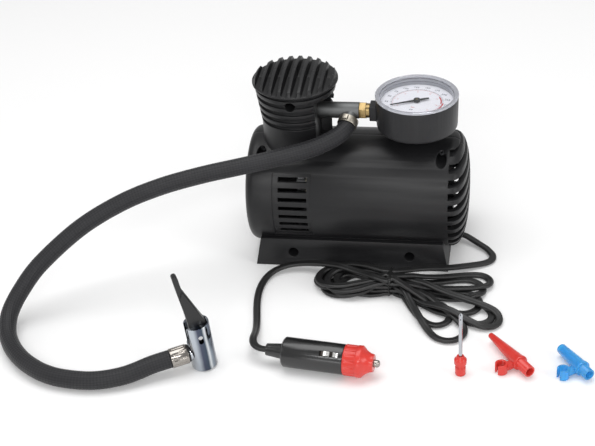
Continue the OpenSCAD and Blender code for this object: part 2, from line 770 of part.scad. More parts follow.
module pump_frame() color([0.72, 0.73, 0.75]) {
    half = sleeve_r + 3.5;
    difference() {
        union() {
            along_x(plate_x0, 0, axis_z) cylinder(r = barrel_in - fit, h = plate_t);
            along_x(plate_x0 + 0.5, 0, crank_z) cylinder(r = boss_r, h = boss_x1 - plate_x0 - 0.5);
            box([hx - half, -half, shelf_z0], [plate_x0 + 1, half, shelf_z1]);
            for (s = [-1, 1]) along_y(0, s > 0 ? half - 2 : -half, 0) linear_extrude(2)
                polygon([[plate_x0 + 0.5, -shelf_z1 + 0.5], [plate_x0 + 0.5, -shelf_z1 - 3.4],
                    [plate_x0 - 9, -shelf_z1 + 0.5]]);
        }
        along_x(plate_x0 - 1, 0, motor_z) cylinder(r = 5.8 + face, h = plate_t + 2);
        along_x(plate_x0 - 1, 0, crank_z) cylinder(r = crank_shaft_r + run_gap, h = 30);
        translate([hx, 0, shelf_z0 - 1]) cylinder(r = sleeve_r + face, h = shelf_t + 2);
        for (s = [-1, 1], p = [[24, 62, 7], [27, 40, 6], [15, 68, 3]])
            along_x(plate_x0 - 1, s * p[0], p[1]) cylinder(r = p[2], h = plate_t + 2);
    }
}

module crankshaft() color("silver") {
    along_x(gear_x0, 0, crank_z) cylinder(r = crank_shaft_r - 0.1, h = gear_w);
    along_x(gear_x1, 0, crank_z) cylinder(r = 6.5, h = plate_x0 - gear_x1 - fit);
    along_x(gear_x1, 0, crank_z) cylinder(r = crank_shaft_r, h = boss_x1 - gear_x1);
}

module crank_gear() color([0.88, 0.86, 0.8]) {
    along_x(gear_x0, 0, crank_z) difference() {
        linear_extrude(gear_w) gear_outline(gear_m, gear_teeth);
        translate([0, 0, -1]) cylinder(r = crank_shaft_r - 0.1 + face, h = gear_w + 2);
        translate([throw, 0, -1]) cylinder(r = crank_pin_r + face, h = gear_w + 2);
        for (a = [72, 144, 216, 288])
            rotate([0, 0, a]) translate([11, 0, -1]) cylinder(r = 3.2, h = gear_w + 2);
    }
}

module crank_pin() color("silver") {
    along_x(pin_x0, 0, crank_z - throw) cylinder(r = crank_pin_r, h = gear_x1 - 0.4 - pin_x0);
}

module connecting_rod() color([0.82, 0.82, 0.84]) {
    low = crank_z - throw;
    difference() {
        union() {
            along_x(rod_x0, 0, low) cylinder(r = big_eye_r, h = rod_t);
            along_x(rod_x0 + 0.5, 0, wrist_z) cylinder(r = wrist_r + 2.3, h = rod_t - 1);
            box([rod_x0 + 1, -2.2, low + 3], [rod_x1 - 1, 2.2, wrist_z - 2]);
        }
        along_x(rod_x0 - 1, 0, low) cylinder(r = crank_pin_r + run_gap, h = rod_t + 2);
        along_x(rod_x0 - 1, 0, wrist_z) cylinder(r = wrist_r + run_gap, h = rod_t + 2);
    }
}

module wrist_pin() color("silver") {
    along_x(hx - piston_r + 0.8, 0, wrist_z) cylinder(r = wrist_r, h = 2 * piston_r - 1.6);
}

module piston() color([0.85, 0.85, 0.87]) {
    difference() {
        translate([hx, 0, wrist_z - piston_down]) cylinder(r = piston_r, h = piston_down + piston_up);
        translate([hx, 0, wrist_z - piston_down - 1]) intersection() {
            cylinder(r = piston_r - 2, h = piston_down + 5.2);
            box([-rod_t / 2 - 0.4, -20, -1], [rod_t / 2 + 0.4, 20, 30]);
        }
        along_x(hx - piston_r - 1, 0, wrist_z) cylinder(r = wrist_r + face, h = 2 * piston_r + 2);
        translate([hx, 0, wrist_z + 3.4]) pipe(piston_r + 1, piston_r - 1.4, 1.4);
    }
}

module piston_ring() color([0.2, 0.2, 0.22]) {
    translate([hx, 0, wrist_z + 3.45]) difference() {
        pipe(bore_r - 0.02, piston_r - 1.38, 1.3);
        box([0, -0.4, -1], [20, 0.4, 3]);
    }
}

module cylinder_part() color([0.75, 0.76, 0.78]) {
    z0 = shelf_z0 + 0.4;
    difference() {
        union() {
            translate([hx, 0, z0]) cylinder(r = sleeve_r, h = cyl_top - z0);
            translate([hx, 0, shelf_z1]) cylinder(r = sleeve_r + 2.6, h = 2);
            for (i = [1:3])
                translate([hx, 0, shelf_z1 + 1.5 + 4.4 * i]) cylinder(r = sleeve_r + 2.2, h = 1.2);
            translate([hx, 0, cyl_top - 1.2]) cube([2 * block_half, 2 * block_half, 2.4], center = true);
        }
        translate([hx, 0, z0 - 1]) cylinder(r = bore_r, h = cyl_top);
        tie_holes(cyl_top - 4, 8);
        // fins stop at the flat side of the head
        box([notch_x - wall - fit, -big / 2, shelf_z1 + 2], [big / 2, big / 2, cyl_top - 2.4]);
    }
}

module tie_holes(z, h) {
    for (x = [-1, 1], y = [-1, 1]) {
        translate([hx + x * tie_half, y * tie_half, z]) cylinder(r = tie_r + face, h = h);
    }
}

module valve_plate() color([0.6, 0.61, 0.63]) {
    difference() {
        translate([hx - block_half, -block_half, cyl_top]) cube([2 * block_half, 2 * block_half, valve_t]);
        translate([hx, 0, cyl_top - 1]) cylinder(r = outlet_r, h = valve_t + 2);
        tie_holes(cyl_top - 1, valve_t + 2);
    }
}

module valve_ball() color([0.15, 0.15, 0.16]) {
    translate([hx, 0, ball_valve_z]) sphere(r = ball_valve_r);
}

module valve_spring() color("silver") {
    z0 = ball_valve_z + ball_valve_r + 0.05;
    translate([hx, 0, z0]) coil(1.9, 0.22, 4, chamber_top - z0 - 0.05);
}

module cylinder_head() color([0.66, 0.67, 0.7]) {
    difference() {
        translate([hx - block_half, -block_half, valve_z]) cube([2 * block_half, 2 * block_half, head_h]);
        translate([hx, 0, valve_z - 1]) cylinder(r = chamber_r, h = chamber_top - valve_z + 1);
        along_x(hx, 0, tube_z) cylinder(r = 2, h = big);
        along_x(tube_x0 - 4.2, 0, tube_z) cylinder(r = spigot_r + face, h = big);
        tie_holes(valve_z - 1, head_h + 2);
        for (i = [-2:2]) box([hx + i * 3 - 0.6, -big, head_top - 2], [hx + i * 3 + 0.6, big, head_top + 1]);
    }
}

// ---------- Manifold and gauge ----------

module barb_frame() {
    translate([0, 0, tube_z]) rotate([0, 0, barb_az]) rotate([0, 90 + barb_dip, 0]) children();
}

module outlet_manifold() color([0.55, 0.56, 0.57]) {
    difference() {
        union() {
            along_x(tube_x0, 0, tube_z) cylinder(r = tube_r, h = tube_x1 - tube_x0);
            along_x(tube_x0 - 4, 0, tube_z) cylinder(r = spigot_r, h = 5);
            barb_frame() cylinder(r = barb_r, h = barb_len);
        }
        along_x(tube_x0 - 5, 0, tube_z) cylinder(r = 2, h = tube_x1 - tube_x0);
        along_x(tube_x1 - 7, 0, tube_z) cylinder(r = spigot_in_r + face, h = 8);
        barb_frame() cylinder(r = 1.8, h = barb_len + 1);
    }
}

module hose_clip() color([0.8, 0.78, 0.74]) {
    barb_frame() {
        translate([0, 0, clip_z0]) pipe(clip_r, barb_r + face, barb_len - 0.1 - clip_z0);
        translate([0, 0, barb_len - 0.2]) pipe(clip_r, hose_d / 2 + 0.15, 4.2);
        translate([-clip_r - 1.7, -1.8, barb_len]) cube([2.2, 3.6, 3.4]);
    }
}

module gauge_nut() color([0.83, 0.68, 0.35]) {
    difference() {
        union() {
            along_x(tube_x1, 0, tube_z) cylinder(r = 6.2, h = nut_x1 - tube_x1, $fn = 6);
            along_x(nut_x1 - 0.5, 0, tube_z) cylinder(r = 5, h = stem_x0 - nut_x1 + 0.5);
            along_x(tube_x1 - 6.8, 0, tube_z) cylinder(r = spigot_in_r, h = nut_x1 - tube_x1 + 6);
            along_x(stem_x0 - 1, 0, tube_z) cylinder(r = spigot_in_r, h = gauge_x - case_r + 1 - stem_x0);
        }
        along_x(tube_x1 - 8, 0, tube_z) cylinder(r = port_r, h = gauge_x);
    }
}

module gauge_case() color([0.2, 0.2, 0.21]) {
    foot_r = gauge_r - gauge_draft;
    difference() {
        union() {
            translate([gauge_x, 0, 0]) rotate_extrude() polygon(concat([[0, gauge_z0]],
                arc(foot_r - 2.5, gauge_z0 + 2.5, 2.5, -90, 0, 6), [[gauge_r, gauge_z1], [0, gauge_z1]]));
            box([stem_x0, -stem_half, stem_z - stem_half],
                [gauge_x - case_r + 1, stem_half, stem_z + stem_half]);
        }
        translate([gauge_x, 0, movement_z]) cylinder(r = case_r, h = big);
        along_x(stem_x0 - 1, 0, tube_z) cylinder(r = spigot_in_r + face, h = gauge_x - stem_x0);
    }
    // ledges that carry the dial
    intersection() {
        translate([gauge_x, 0, dial_z - 2]) pipe(case_r + 0.5, case_r - 1.8, 2);
        box([gauge_x - ledge_half, -gauge_r, 0], [gauge_x + ledge_half, gauge_r, big]);
    }
}

// Clear ring: a flange on the case's rim and a skirt down to the dial.
module gauge_bezel() color([0.75, 0.76, 0.77]) {
    rim = gauge_z1 + 0.05;
    translate([gauge_x, 0, 0]) rotate_extrude() polygon([[window_r, dial_z + dial_t + 0.1],
        [skirt_r, dial_z + dial_t + 0.1], [skirt_r, rim], [bezel_r, rim], [bezel_r, rim + 0.6],
        [bezel_r - 0.6, rim + 1.2], [lip_r + 0.5, rim + 1.2], [lip_r, rim + 0.7], [lip_r, lens_z],
        [window_r, lens_z]]);
}

module gauge_lens() color([0.85, 0.93, 0.97, 0.4]) {
    r = lip_r - 0.1;
    z = lens_z + face;
    translate([gauge_x, 0, 0]) rotate_extrude() polygon(concat([[0, z], [r, z], [r, z + 1.2]],
        [for (i = [1:6]) let (t = i / 6) [r * (1 - t), z + 1.2 + 1.1 * sqrt(1 - pow(1 - t, 2))]]));
}

module gauge_dial() color([0.95, 0.95, 0.94]) {
    difference() {
        translate([gauge_x, 0, dial_z]) cylinder(r = case_r - fit, h = dial_t);
        translate([gauge_x, 0, dial_z - 1]) cylinder(r = spindle_r + 0.4, h = 3);
    }
}

module gauge_needle() color([0.12, 0.12, 0.12]) {
    translate([gauge_x, 0, dial_z + 1.8]) rotate([0, 0, needle_rest]) difference() {
        union() {
            linear_extrude(0.6) polygon([[-8.5, -0.7], [-8.5, 0.7], [0, 1], [needle_len, 0.2], [needle_len, -0.2],
                [0, -1]]);
            translate([0, 0, -0.4]) cylinder(r = 2.2, h = 1.6);
        }
        translate([0, 0, -1]) cylinder(r = spindle_r + face, h = 4);
    }
}

module gauge_spindle() color([0.85, 0.7, 0.35]) {
    translate([gauge_x, 0, spindle_z0]) cylinder(r = spindle_r, h = dial_z + 2.9 - spindle_z0);
    translate([gauge_x, 0, movement_z + 3.4]) rotate([0, 0, 180 / spindle_teeth - 90]) linear_extrude(3)
        gear_outline(sector_m, spindle_teeth);
}

module gauge_sector() color([0.8, 0.66, 0.35]) {
    // teeth face the spindle; the sector starts at one end of its travel
    translate([gauge_x, -sector_d, movement_z + 4.1]) {
        difference() {
            union() {
                rotate([0, 0, 90]) linear_extrude(1.5) gear_outline(sector_m, sector_teeth, -11, 2);
                cylinder(r = 2.4, h = 1.5);
            }
            for (a = [55, 70, 85])
                rotate([0, 0, a]) translate([sector_hole_at, 0, -1]) cylinder(r = 1.1, h = 4);
        }
        translate([0, 0, -3.4]) cylinder(r = spindle_r, h = movement_h - 0.4);
    }
}

module bourdon_tube() color([0.82, 0.66, 0.33]) {
    translate([gauge_x, 0, movement_z + 3]) rotate([0, 0, -72]) rotate_extrude(angle = 238.8)
        translate([tube_ring_r - 1, 0]) square([2, tube_band]);
}

module gauge_movement() color([0.78, 0.64, 0.36]) {
    x0 = gauge_x - sqrt(case_r * case_r - 4.5 * 4.5) + 0.05;
    plate_z1 = movement_z + movement_h;
    difference() {
        union() {
            box([x0, -4.5, movement_z], [x0 + 9, 4.5, movement_z + movement_h - 0.2]);
            box([x0 + 8, -4, movement_z], [gauge_x + 5, 4, movement_z + 1.4]);
            box([gauge_x - 4, -sector_d - 3, movement_z], [gauge_x + 5, 4, movement_z + 1.4]);
            box([gauge_x - 4, -sector_d - 3, plate_z1], [gauge_x + 5, 4, plate_z1 + 1]);
            for (y = [2.6, -sector_d + 1.9]) translate([gauge_x + (y > 0 ? -2.8 : 4.2), y, movement_z])
                cylinder(r = 0.7, h = plate_z1 - movement_z + 0.5);
        }
        along_x(x0 - 1, 0, tube_z) cylinder(r = port_r, h = 8);
        for (y = [0, -sector_d])
            translate([gauge_x, y, movement_z + 0.5]) cylinder(r = spindle_r + run_gap, h = 20);
    }
}

// ---------- Hose and chuck ----------

module air_hose() color([0.1, 0.1, 0.11]) {
    swept(spline(hose_route, 1), hose_d, hose_d, 12);
}

module chuck_frame() {
    translate([chuck_at[0], chuck_at[1], chuck_lift]) rotate([0, 0, chuck_az]) rotate([0, -chuck_lean, 0])
        children();
}

module chuck_ferrule() color([0.82, 0.82, 0.82]) {
    chuck_frame() translate([0, 0, port_z]) rotate([0, 90, 0]) {
        difference() {
            union() {
                translate([0, 0, ferrule_x0]) cylinder(r = hose_d / 2 + 0.5, h = ferrule_x1 - ferrule_x0);
                translate([0, 0, ferrule_x1]) cylinder(r = 3.5, h = -ferrule_x1 - seal_r - 0.5);
            }
            translate([0, 0, ferrule_x0 + 2]) cylinder(r = 1.6, h = 20);
            for (i = [0:crimp_count - 1]) rotate([0, 0, i * 360 / crimp_count])
                translate([hose_d / 2 + 0.5 + crimp_r - 0.4, 0, ferrule_x0 + 1.6])
                    cylinder(r = crimp_r, h = ferrule_x1 - ferrule_x0 - 3.2, $fn = 32);
        }
    }
}

module chuck_body() color([0.85, 0.86, 0.88]) {
    chuck_frame() difference() {
        union() {
            cylinder(r = chuck_r, h = chuck_len);
            translate([0, 0, port_z]) rotate([0, -90, 0]) cylinder(r = 5, h = -ferrule_x1 - 0.05);
        }
        translate([0, 0, -1]) cylinder(r = mouth_r, h = lip_h + 2);
        translate([0, 0, lip_h]) cylinder(r = seal_r + 0.05, h = bore_top - lip_h);
        translate([0, 0, port_z]) rotate([0, -90, 0]) cylinder(r = 3.5 + face, h = 20);
        box([-chuck_r - 2, -slot_half, bore_top - 0.5], [chuck_r - 1.5, slot_half, chuck_len + 1]);
        translate([0, 0, lever_z]) rotate([90, 0, 0])
            translate([0, 0, -chuck_r - 1]) {
                cylinder(r = lever_pin_r + face, h = 2 * chuck_r + 2);
                hull() for (drop = [2.2, 3.3]) translate([0, -drop, 0])
                    cylinder(r = lever_pin_r + 0.1, h = 2 * chuck_r + 2);
            }
    }
}

module chuck_seal() color([0.1, 0.1, 0.1]) {
    chuck_frame() translate([0, 0, lip_h]) pipe(seal_r, mouth_r + 0.5, seal_h);
}

module chuck_plunger() color([0.8, 0.7, 0.42]) {
    chuck_frame() {
        translate([0, 0, plunger_z0]) cylinder(r = seal_r - 0.1, h = plunger_t);
        translate([0, 0, plunger_z0 - 3]) cylinder(r = 1.1, h = 4);
        translate([0, 0, plunger_z0]) cylinder(r = 2.6, h = plunger_top - plunger_z0);
    }
}

module chuck_lever() color([0.13, 0.13, 0.14]) {
    tip = lever_len;
    chuck_frame() translate([0, 0, lever_z]) rotate([90, 0, 0]) translate([0, 0, -lever_t / 2]) difference() {
        union() {
            cylinder(r = cam_r, h = lever_t);
            linear_extrude(lever_t) polygon([[-5.2, 0], [-5.4, 11], [-6.6, 30], [-4.2, 35.5], [3.6, 14.5],
                [6, 8.5],
                [6, 3], [5, 0]]);
            translate([0, 0, 0.9]) linear_extrude(lever_t - 1.8) polygon(concat(
                [[-5.8, 17], [-7.4, 32]], arc(-6.8, tip - 1.8, 1.8, 170, 0, 5), [[-4, 33]]));
        }
        translate([0, 0, -1]) cylinder(r = lever_pin_r + run_gap, h = lever_t + 2);
    }
}

module lever_pin() color([0.75, 0.76, 0.78]) {
    chuck_frame() translate([0, 0, lever_z]) rotate([90, 0, 0]) {
        translate([0, 0, -chuck_r + 0.3]) cylinder(r = lever_pin_r, h = 2 * chuck_r - 0.6);
    }
}

// ---------- Cord and plug ----------

module cord_gland() color([0.09, 0.09, 0.09]) {
    x_in = base_half - base_lean - wall - 3;
    along_x(x_in, 0, gland_z) cylinder(r = gland_r, h = gland_x1 - x_in);
}

module cord_lead() color([0.08, 0.08, 0.08]) {
    swept(spline(lead_route, 1), cord_w, cord_t, 8);
}

module cord_tail() color([0.08, 0.08, 0.08]) {
    swept(spline(tail_route, 1), cord_w, cord_t, 8);
}

module cord_hank() color([0.09, 0.09, 0.09]) {
    difference() {
        union() {
            linear_extrude(hank_low) {
                translate([-4, -61]) circle(r = 17.5);
                polygon([[-4, -43.5], [tie_x - 6, hank_y1], [tie_x - 6, hank_y0], [-4, -78.5]]);
            }
            box([tie_x - 10, hank_y0, 0], [tie_x + 10, hank_y1 + 0.5, hank_mid]);
            linear_extrude(hank_high) {
                polygon([[tie_x + 6, hank_y1], [89, -44.4], [103.4, -54], [104.6, -95], [82.5, -114.6],
                    [69, -107], [tie_x + 6, hank_y0]]);
                translate([91.5, -56]) circle(r = 12);
                translate([87, -97]) circle(r = 17.6);
            }
        }
        // waist for the tie
        difference() {
            box([tie_x - tie_w / 2 - 0.2, -90, -1], [tie_x + tie_w / 2 + 0.2, -40, hank_mid + 1]);
            box([tie_x - tie_w, hank_y0 + 1, 1.2], [tie_x + tie_w, hank_y1 - 0.6, hank_mid - 1.2]);
        }
    }
}

module cord_tie() color([0.06, 0.06, 0.06]) {
    difference() {
        box([tie_x - tie_w / 2, hank_y0 + 0.9 - tie_t, 0.05],
            [tie_x + tie_w / 2, hank_y1 - 0.5 + tie_t, hank_mid - 0.05]);
        box([tie_x - tie_w, hank_y0 + 0.9, 0.05 + tie_t],
            [tie_x + tie_w, hank_y1 - 0.5, hank_mid - 0.05 - tie_t]);
    }
}

module plug_frame() {
    translate(plug_at) rotate([0, 0, plug_turn]) rotate([0, 90, 0]) children();
}

// Turns the side contacts about the plug's axis: the upper one faces up and to the front.
module contact_frame(lower) {
    plug_frame() rotate([0, 0, (lower ? 0 : 180) + 90 - contact_angle]) children();
}

module contact_slots(grow) {
    for (lower = [false, true]) contact_frame(lower)
        translate([6, -contact_w / 2 - grow, contact_s - contact_len / 2 - grow])
            cube([9, contact_w + 2 * grow, contact_len + 2 * grow]);
}

module plug_barrel() color([0.1, 0.1, 0.1]) {
    difference() {
        plug_frame() union() {
            rotate_extrude() polygon([[0, 0], [plug_r - 1.2, 0], [plug_r, 1.2], [plug_r, plug_len],
                [0, plug_len]]);
            translate([0, 0, -relief_len]) cylinder(r1 = relief_r, r2 = relief_r + 1.3, h = relief_len + 0.5, $fn = 48);
        }
        plug_frame() translate([0, 0, plug_wall]) cylinder(r = plug_r - plug_wall, h = plug_len);
        contact_slots(0.15);
    }
}

module plug_collar() color([0.85, 0.15, 0.13]) {
    nose_end = collar_len + shoulder_len + nose_len;
    fluted_r = collar_r - 0.35;
    land_at = grip_len - 3;
    plug_frame() difference() {
        union() {
            translate([0, 0, plug_len]) rotate_extrude() polygon(concat([[0, 0], [fluted_r - 0.4, 0],
                [fluted_r, 0.4], [fluted_r, land_at - 0.3], [collar_r, land_at], [collar_r, grip_len]],
                [for (t = [0.1:0.1:1])
                [nose_r + (collar_r - nose_r) * pow(1 - t, 2), grip_len + t * (nose_end - grip_len)]],
                [[0, nose_end]]));
            translate([0, 0, plug_len - 1.2]) cylinder(r = plug_r - plug_wall - face, h = 2);
        }
        for (i = [0:flute_count - 1]) rotate([0, 0, (i + 0.5) * 360 / flute_count])
            translate([fluted_r + flute_r - flute_deep, 0, plug_len + 1])
                cylinder(r = flute_r, h = grip_len * 0.62, $fn = 32);
        translate([0, 0, plug_len - 6]) cylinder(r = 4.2, h = 6 + collar_len);
        translate([0, 0, plug_len]) cylinder(r = tip_r + run_gap, h = 60);
    }
}

module plug_tip() color([0.8, 0.8, 0.8]) {
    z1 = plug_len + collar_len + shoulder_len + nose_len;
    plug_frame() {
        translate([0, 0, flange_s]) cylinder(r = 3.9, h = 2);
        rotate_extrude() polygon(concat([[0, plug_len + collar_len - 1]], [[tip_r, plug_len + collar_len - 1]],
            [[tip_r, z1 + tip_out - 1.6]], [for (i = [1:5]) let (a = 18 * i)
                [i == 5 ? 0 : tip_r * cos(a), z1 + tip_out - 1.6 + 1.6 * sin(a)]]));
    }
}

module plug_fuse() color([0.8, 0.88, 0.9]) {
    plug_frame() translate([0, 0, flange_s - fuse_len]) cylinder(r = 3.1, h = fuse_len);
}

module plug_spring() color("silver") {
    plug_frame() translate([0, 0, plug_wall]) coil(3, 0.35, 5, flange_s - fuse_len - plug_wall);
}

module plug_contact() {
    half = contact_len / 2;
    translate([5.2, -contact_w / 2, contact_s - half - 1.5]) cube([1, contact_w, contact_len + 3]);
    translate([5.7, -contact_w / 2, contact_s - half]) cube([plug_r - 5.7 - 0.6, contact_w, contact_len]);
    translate([0, contact_w / 2, contact_s]) rotate([90, 0, 0]) linear_extrude(contact_w)
        polygon([[plug_r - 0.8, -half], [plug_r, 1 - half], [plug_r + contact_out, -1.6],
            [plug_r + contact_out, 1.6], [plug_r, half - 1], [plug_r - 0.8, half]]);
}

module plug_contact_upper() color([0.85, 0.8, 0.65]) {
    contact_frame(false) plug_contact();
}

module plug_contact_lower() color([0.85, 0.8, 0.65]) {
    contact_frame(true) plug_contact();
}

// ---------- Adapters ----------

module ball_needle() color([0.75, 0.76, 0.78]) {
    top = ball_base[9][1];
    translate([ball_at[0], ball_at[1], ball_seat]) difference() {
        rotate_extrude() polygon([[0, 0], [ball_r, 0], [ball_r, top - ball_seat + ball_len - 1.2],
            [0.5, top - ball_seat + ball_len], [0, top - ball_seat + ball_len]]);
        along_y(0, -5, top - ball_seat + ball_len - 4) cylinder(r = 0.45, h = 10);
    }
}

module needle_base() color([0.9, 0.2, 0.2]) {
    translate([ball_at[0], ball_at[1], 0]) difference() {
        rotate_extrude() polygon(ball_base);
        translate([0, 0, ball_seat]) cylinder(r = ball_r + face, h = 20);
        translate([0, 0, -1]) cylinder(r = 0.8, h = 10);
    }
}

// A stepped cone that lies along +X, with a snap clip on a short stem at its side.
module nozzle(length, tip, r_tip) {
    wide = 0.76 * length;
    difference() {
        union() {
            along_x(0, 0, nozzle_r) rotate_extrude() polygon([[0, 0], [r_tip, 0], [nozzle_r - 0.6, wide - 3],
                [nozzle_r, wide], [nozzle_r - 0.3, wide + 0.8], [nozzle_butt_r, wide + 0.8],
                [nozzle_butt_r, length], [0, length]]);
            box([wide - 5, -10, nozzle_r - 3.4], [wide - 1, -2, nozzle_r + 0.6]);
            translate([wide - 4, -11.5, 0]) cylinder(r = 4, h = 7);
        }
        along_x(-1, 0, nozzle_r) cylinder(r = tip, h = length + 2);
        along_x(wide, 0, nozzle_r) cylinder(r = nozzle_butt_r - 1.1, h = length);
        translate([wide - 4, -11.5, -1]) cylinder(r = 2.6, h = 9);
        box([wide - 5.5, -18, -1], [wide - 2.5, -11.5, 9]);
    }
}

module red_nozzle() color([0.9, 0.2, 0.2]) {
    translate([red_at[0], red_at[1], 0.02]) rotate([0, 0, red_turn]) nozzle(red_len, 1, 1.9);
}

module blue_nozzle() color([0.2, 0.5, 0.9, 0.8]) {
    translate([blue_at[0], blue_at[1], 0.02]) rotate([0, 0, blue_turn]) nozzle(blue_len, 2.2, 3.2);
}

housing_front();
housing_rear();
screws();
pump_frame();
motor_can();
motor_end_bell();
motor_magnets();
motor_brushes();
rotor_shaft();
armature_core();
armature_windings();
commutator();
motor_pinion();
crankshaft();
crank_gear();
crank_pin();
connecting_rod();
wrist_pin();
piston();
piston_ring();
cylinder_part();  // cylinder
valve_plate();
valve_ball();
valve_spring();
cylinder_head();
outlet_manifold();
hose_clip();
gauge_nut();
gauge_case();
gauge_bezel();
gauge_lens();
gauge_dial();
gauge_needle();
gauge_spindle();
gauge_sector();
bourdon_tube();
gauge_movement();
air_hose();
chuck_ferrule();
chuck_body();
chuck_seal();
chuck_plunger();
chuck_lever();
lever_pin();
cord_gland();
cord_lead();
cord_hank();
cord_tail();
cord_tie();
plug_barrel();
plug_collar();
plug_tip();
plug_fuse();
plug_spring();
plug_contact_upper();
plug_contact_lower();
ball_needle();
needle_base();
red_nozzle();
blue_nozzle();
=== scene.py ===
"""The look of a tire inflator round its CAD solids: finishes, rounded edges, cords, screws, dial and studio.

Lengths are in metres, or in millimetres where they are multiplied by MM.
"""
import bpy
import bmesh
import json
import math
import numpy as np
from mathutils import Matrix, Vector


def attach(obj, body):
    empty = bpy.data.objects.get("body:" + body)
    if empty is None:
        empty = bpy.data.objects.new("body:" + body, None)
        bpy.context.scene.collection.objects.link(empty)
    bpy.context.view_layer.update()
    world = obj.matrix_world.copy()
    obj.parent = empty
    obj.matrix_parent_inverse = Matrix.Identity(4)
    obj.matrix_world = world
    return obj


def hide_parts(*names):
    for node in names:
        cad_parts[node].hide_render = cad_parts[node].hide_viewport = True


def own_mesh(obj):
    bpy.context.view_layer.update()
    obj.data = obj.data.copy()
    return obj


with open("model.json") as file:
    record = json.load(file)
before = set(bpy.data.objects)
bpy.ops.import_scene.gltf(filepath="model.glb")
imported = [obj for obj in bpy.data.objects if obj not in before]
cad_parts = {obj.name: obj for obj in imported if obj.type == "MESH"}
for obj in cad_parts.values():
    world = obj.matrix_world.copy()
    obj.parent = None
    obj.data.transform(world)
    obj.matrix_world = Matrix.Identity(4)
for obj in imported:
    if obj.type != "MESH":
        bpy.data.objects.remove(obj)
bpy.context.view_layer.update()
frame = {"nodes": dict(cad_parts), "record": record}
NODES = frame["nodes"]
MM = 0.001
BODY_OF = {n: b for b, ns in frame["record"]["behaviour"]["bodies"].items() for n in ns}
SLOT_OF = {s["node"]: s["material_slot"] for s in frame["record"]["subparts"]}


# ---------- Camera and light ----------

CAMERA_AT = (0.1216, -0.8605, 0.5856)
CAMERA_TILT, CAMERA_TURN, CAMERA_ROLL = 33.3, 10.9, -3.9
SENSOR_WIDTH, FOCAL_LENGTH = 36, 86.94
CLIP_START = 0.05


def place_camera():
    """A camera that looks down by the tilt, from the side by the turn, and leans by the roll, in degrees."""
    tilt, turn, roll = (math.radians(a) for a in (CAMERA_TILT, CAMERA_TURN, CAMERA_ROLL))
    right = Vector((math.cos(turn), math.sin(turn), 0))
    ahead = Vector((-math.sin(turn), math.cos(turn), 0))
    up = Vector((0, 0, 1))
    look = ahead * math.cos(tilt) - up * math.sin(tilt)
    top = ahead * math.sin(tilt) + up * math.cos(tilt)
    x = right * math.cos(roll) + top * math.sin(roll)
    y = top * math.cos(roll) - right * math.sin(roll)
    data = bpy.data.cameras.new("camera")
    data.sensor_width = SENSOR_WIDTH
    data.lens = FOCAL_LENGTH
    data.clip_start = CLIP_START
    camera = bpy.data.objects.new("camera", data)
    bpy.context.scene.collection.objects.link(camera)
    camera.matrix_world = Matrix.Translation(Vector(CAMERA_AT)) @ Matrix((x, y, -look)).transposed().to_4x4()
    bpy.context.scene.camera = camera


def softbox(name, at, towards, size, power):
    data = bpy.data.lights.new(name, "AREA")
    data.shape = "RECTANGLE"
    data.size, data.size_y = size
    data.energy = power
    lamp = bpy.data.objects.new(name, data)
    bpy.context.scene.collection.objects.link(lamp)
    lamp.location = at
    lamp.rotation_euler = (Vector(towards) - Vector(at)).to_track_quat("-Z", "Y").to_euler()


place_camera()
# Name, place, what it points at, size and watts
softbox("top_softbox", (-0.1, 0.1, 1.3), (0, -0.05, 0.0), (1.2, 0.9), 9.5)
softbox("left_softbox", (-1.0, -0.5, 0.6), (0, 0, 0.05), (0.5, 0.6), 1.5)
softbox("right_softbox", (1.0, -0.45, 0.5), (0, 0, 0.05), (0.35, 0.6), 2.4)
softbox("front_softbox", (0.1, -1.25, 0.9), (0.03, -0.05, 0.05), (0.9, 0.1), 5.2)
softbox("low_strip", (0.0, -1.25, 0.2), (0, -0.1, 0.03), (0.8, 0.2), 1.5)


# ---------- Measures that finishes and shapes share ----------

# The chuck's foot on the floor, and how its axis turns and leans
CHUCK_AT = (-82, -153.5)
CHUCK_TURN, CHUCK_LEAN = math.radians(27), math.radians(5)
# One turn of a yarn along the hose, and the yarns each way round it
YARN_PITCH = 4.0
YARNS = 12


# ---------- Shader maths ----------

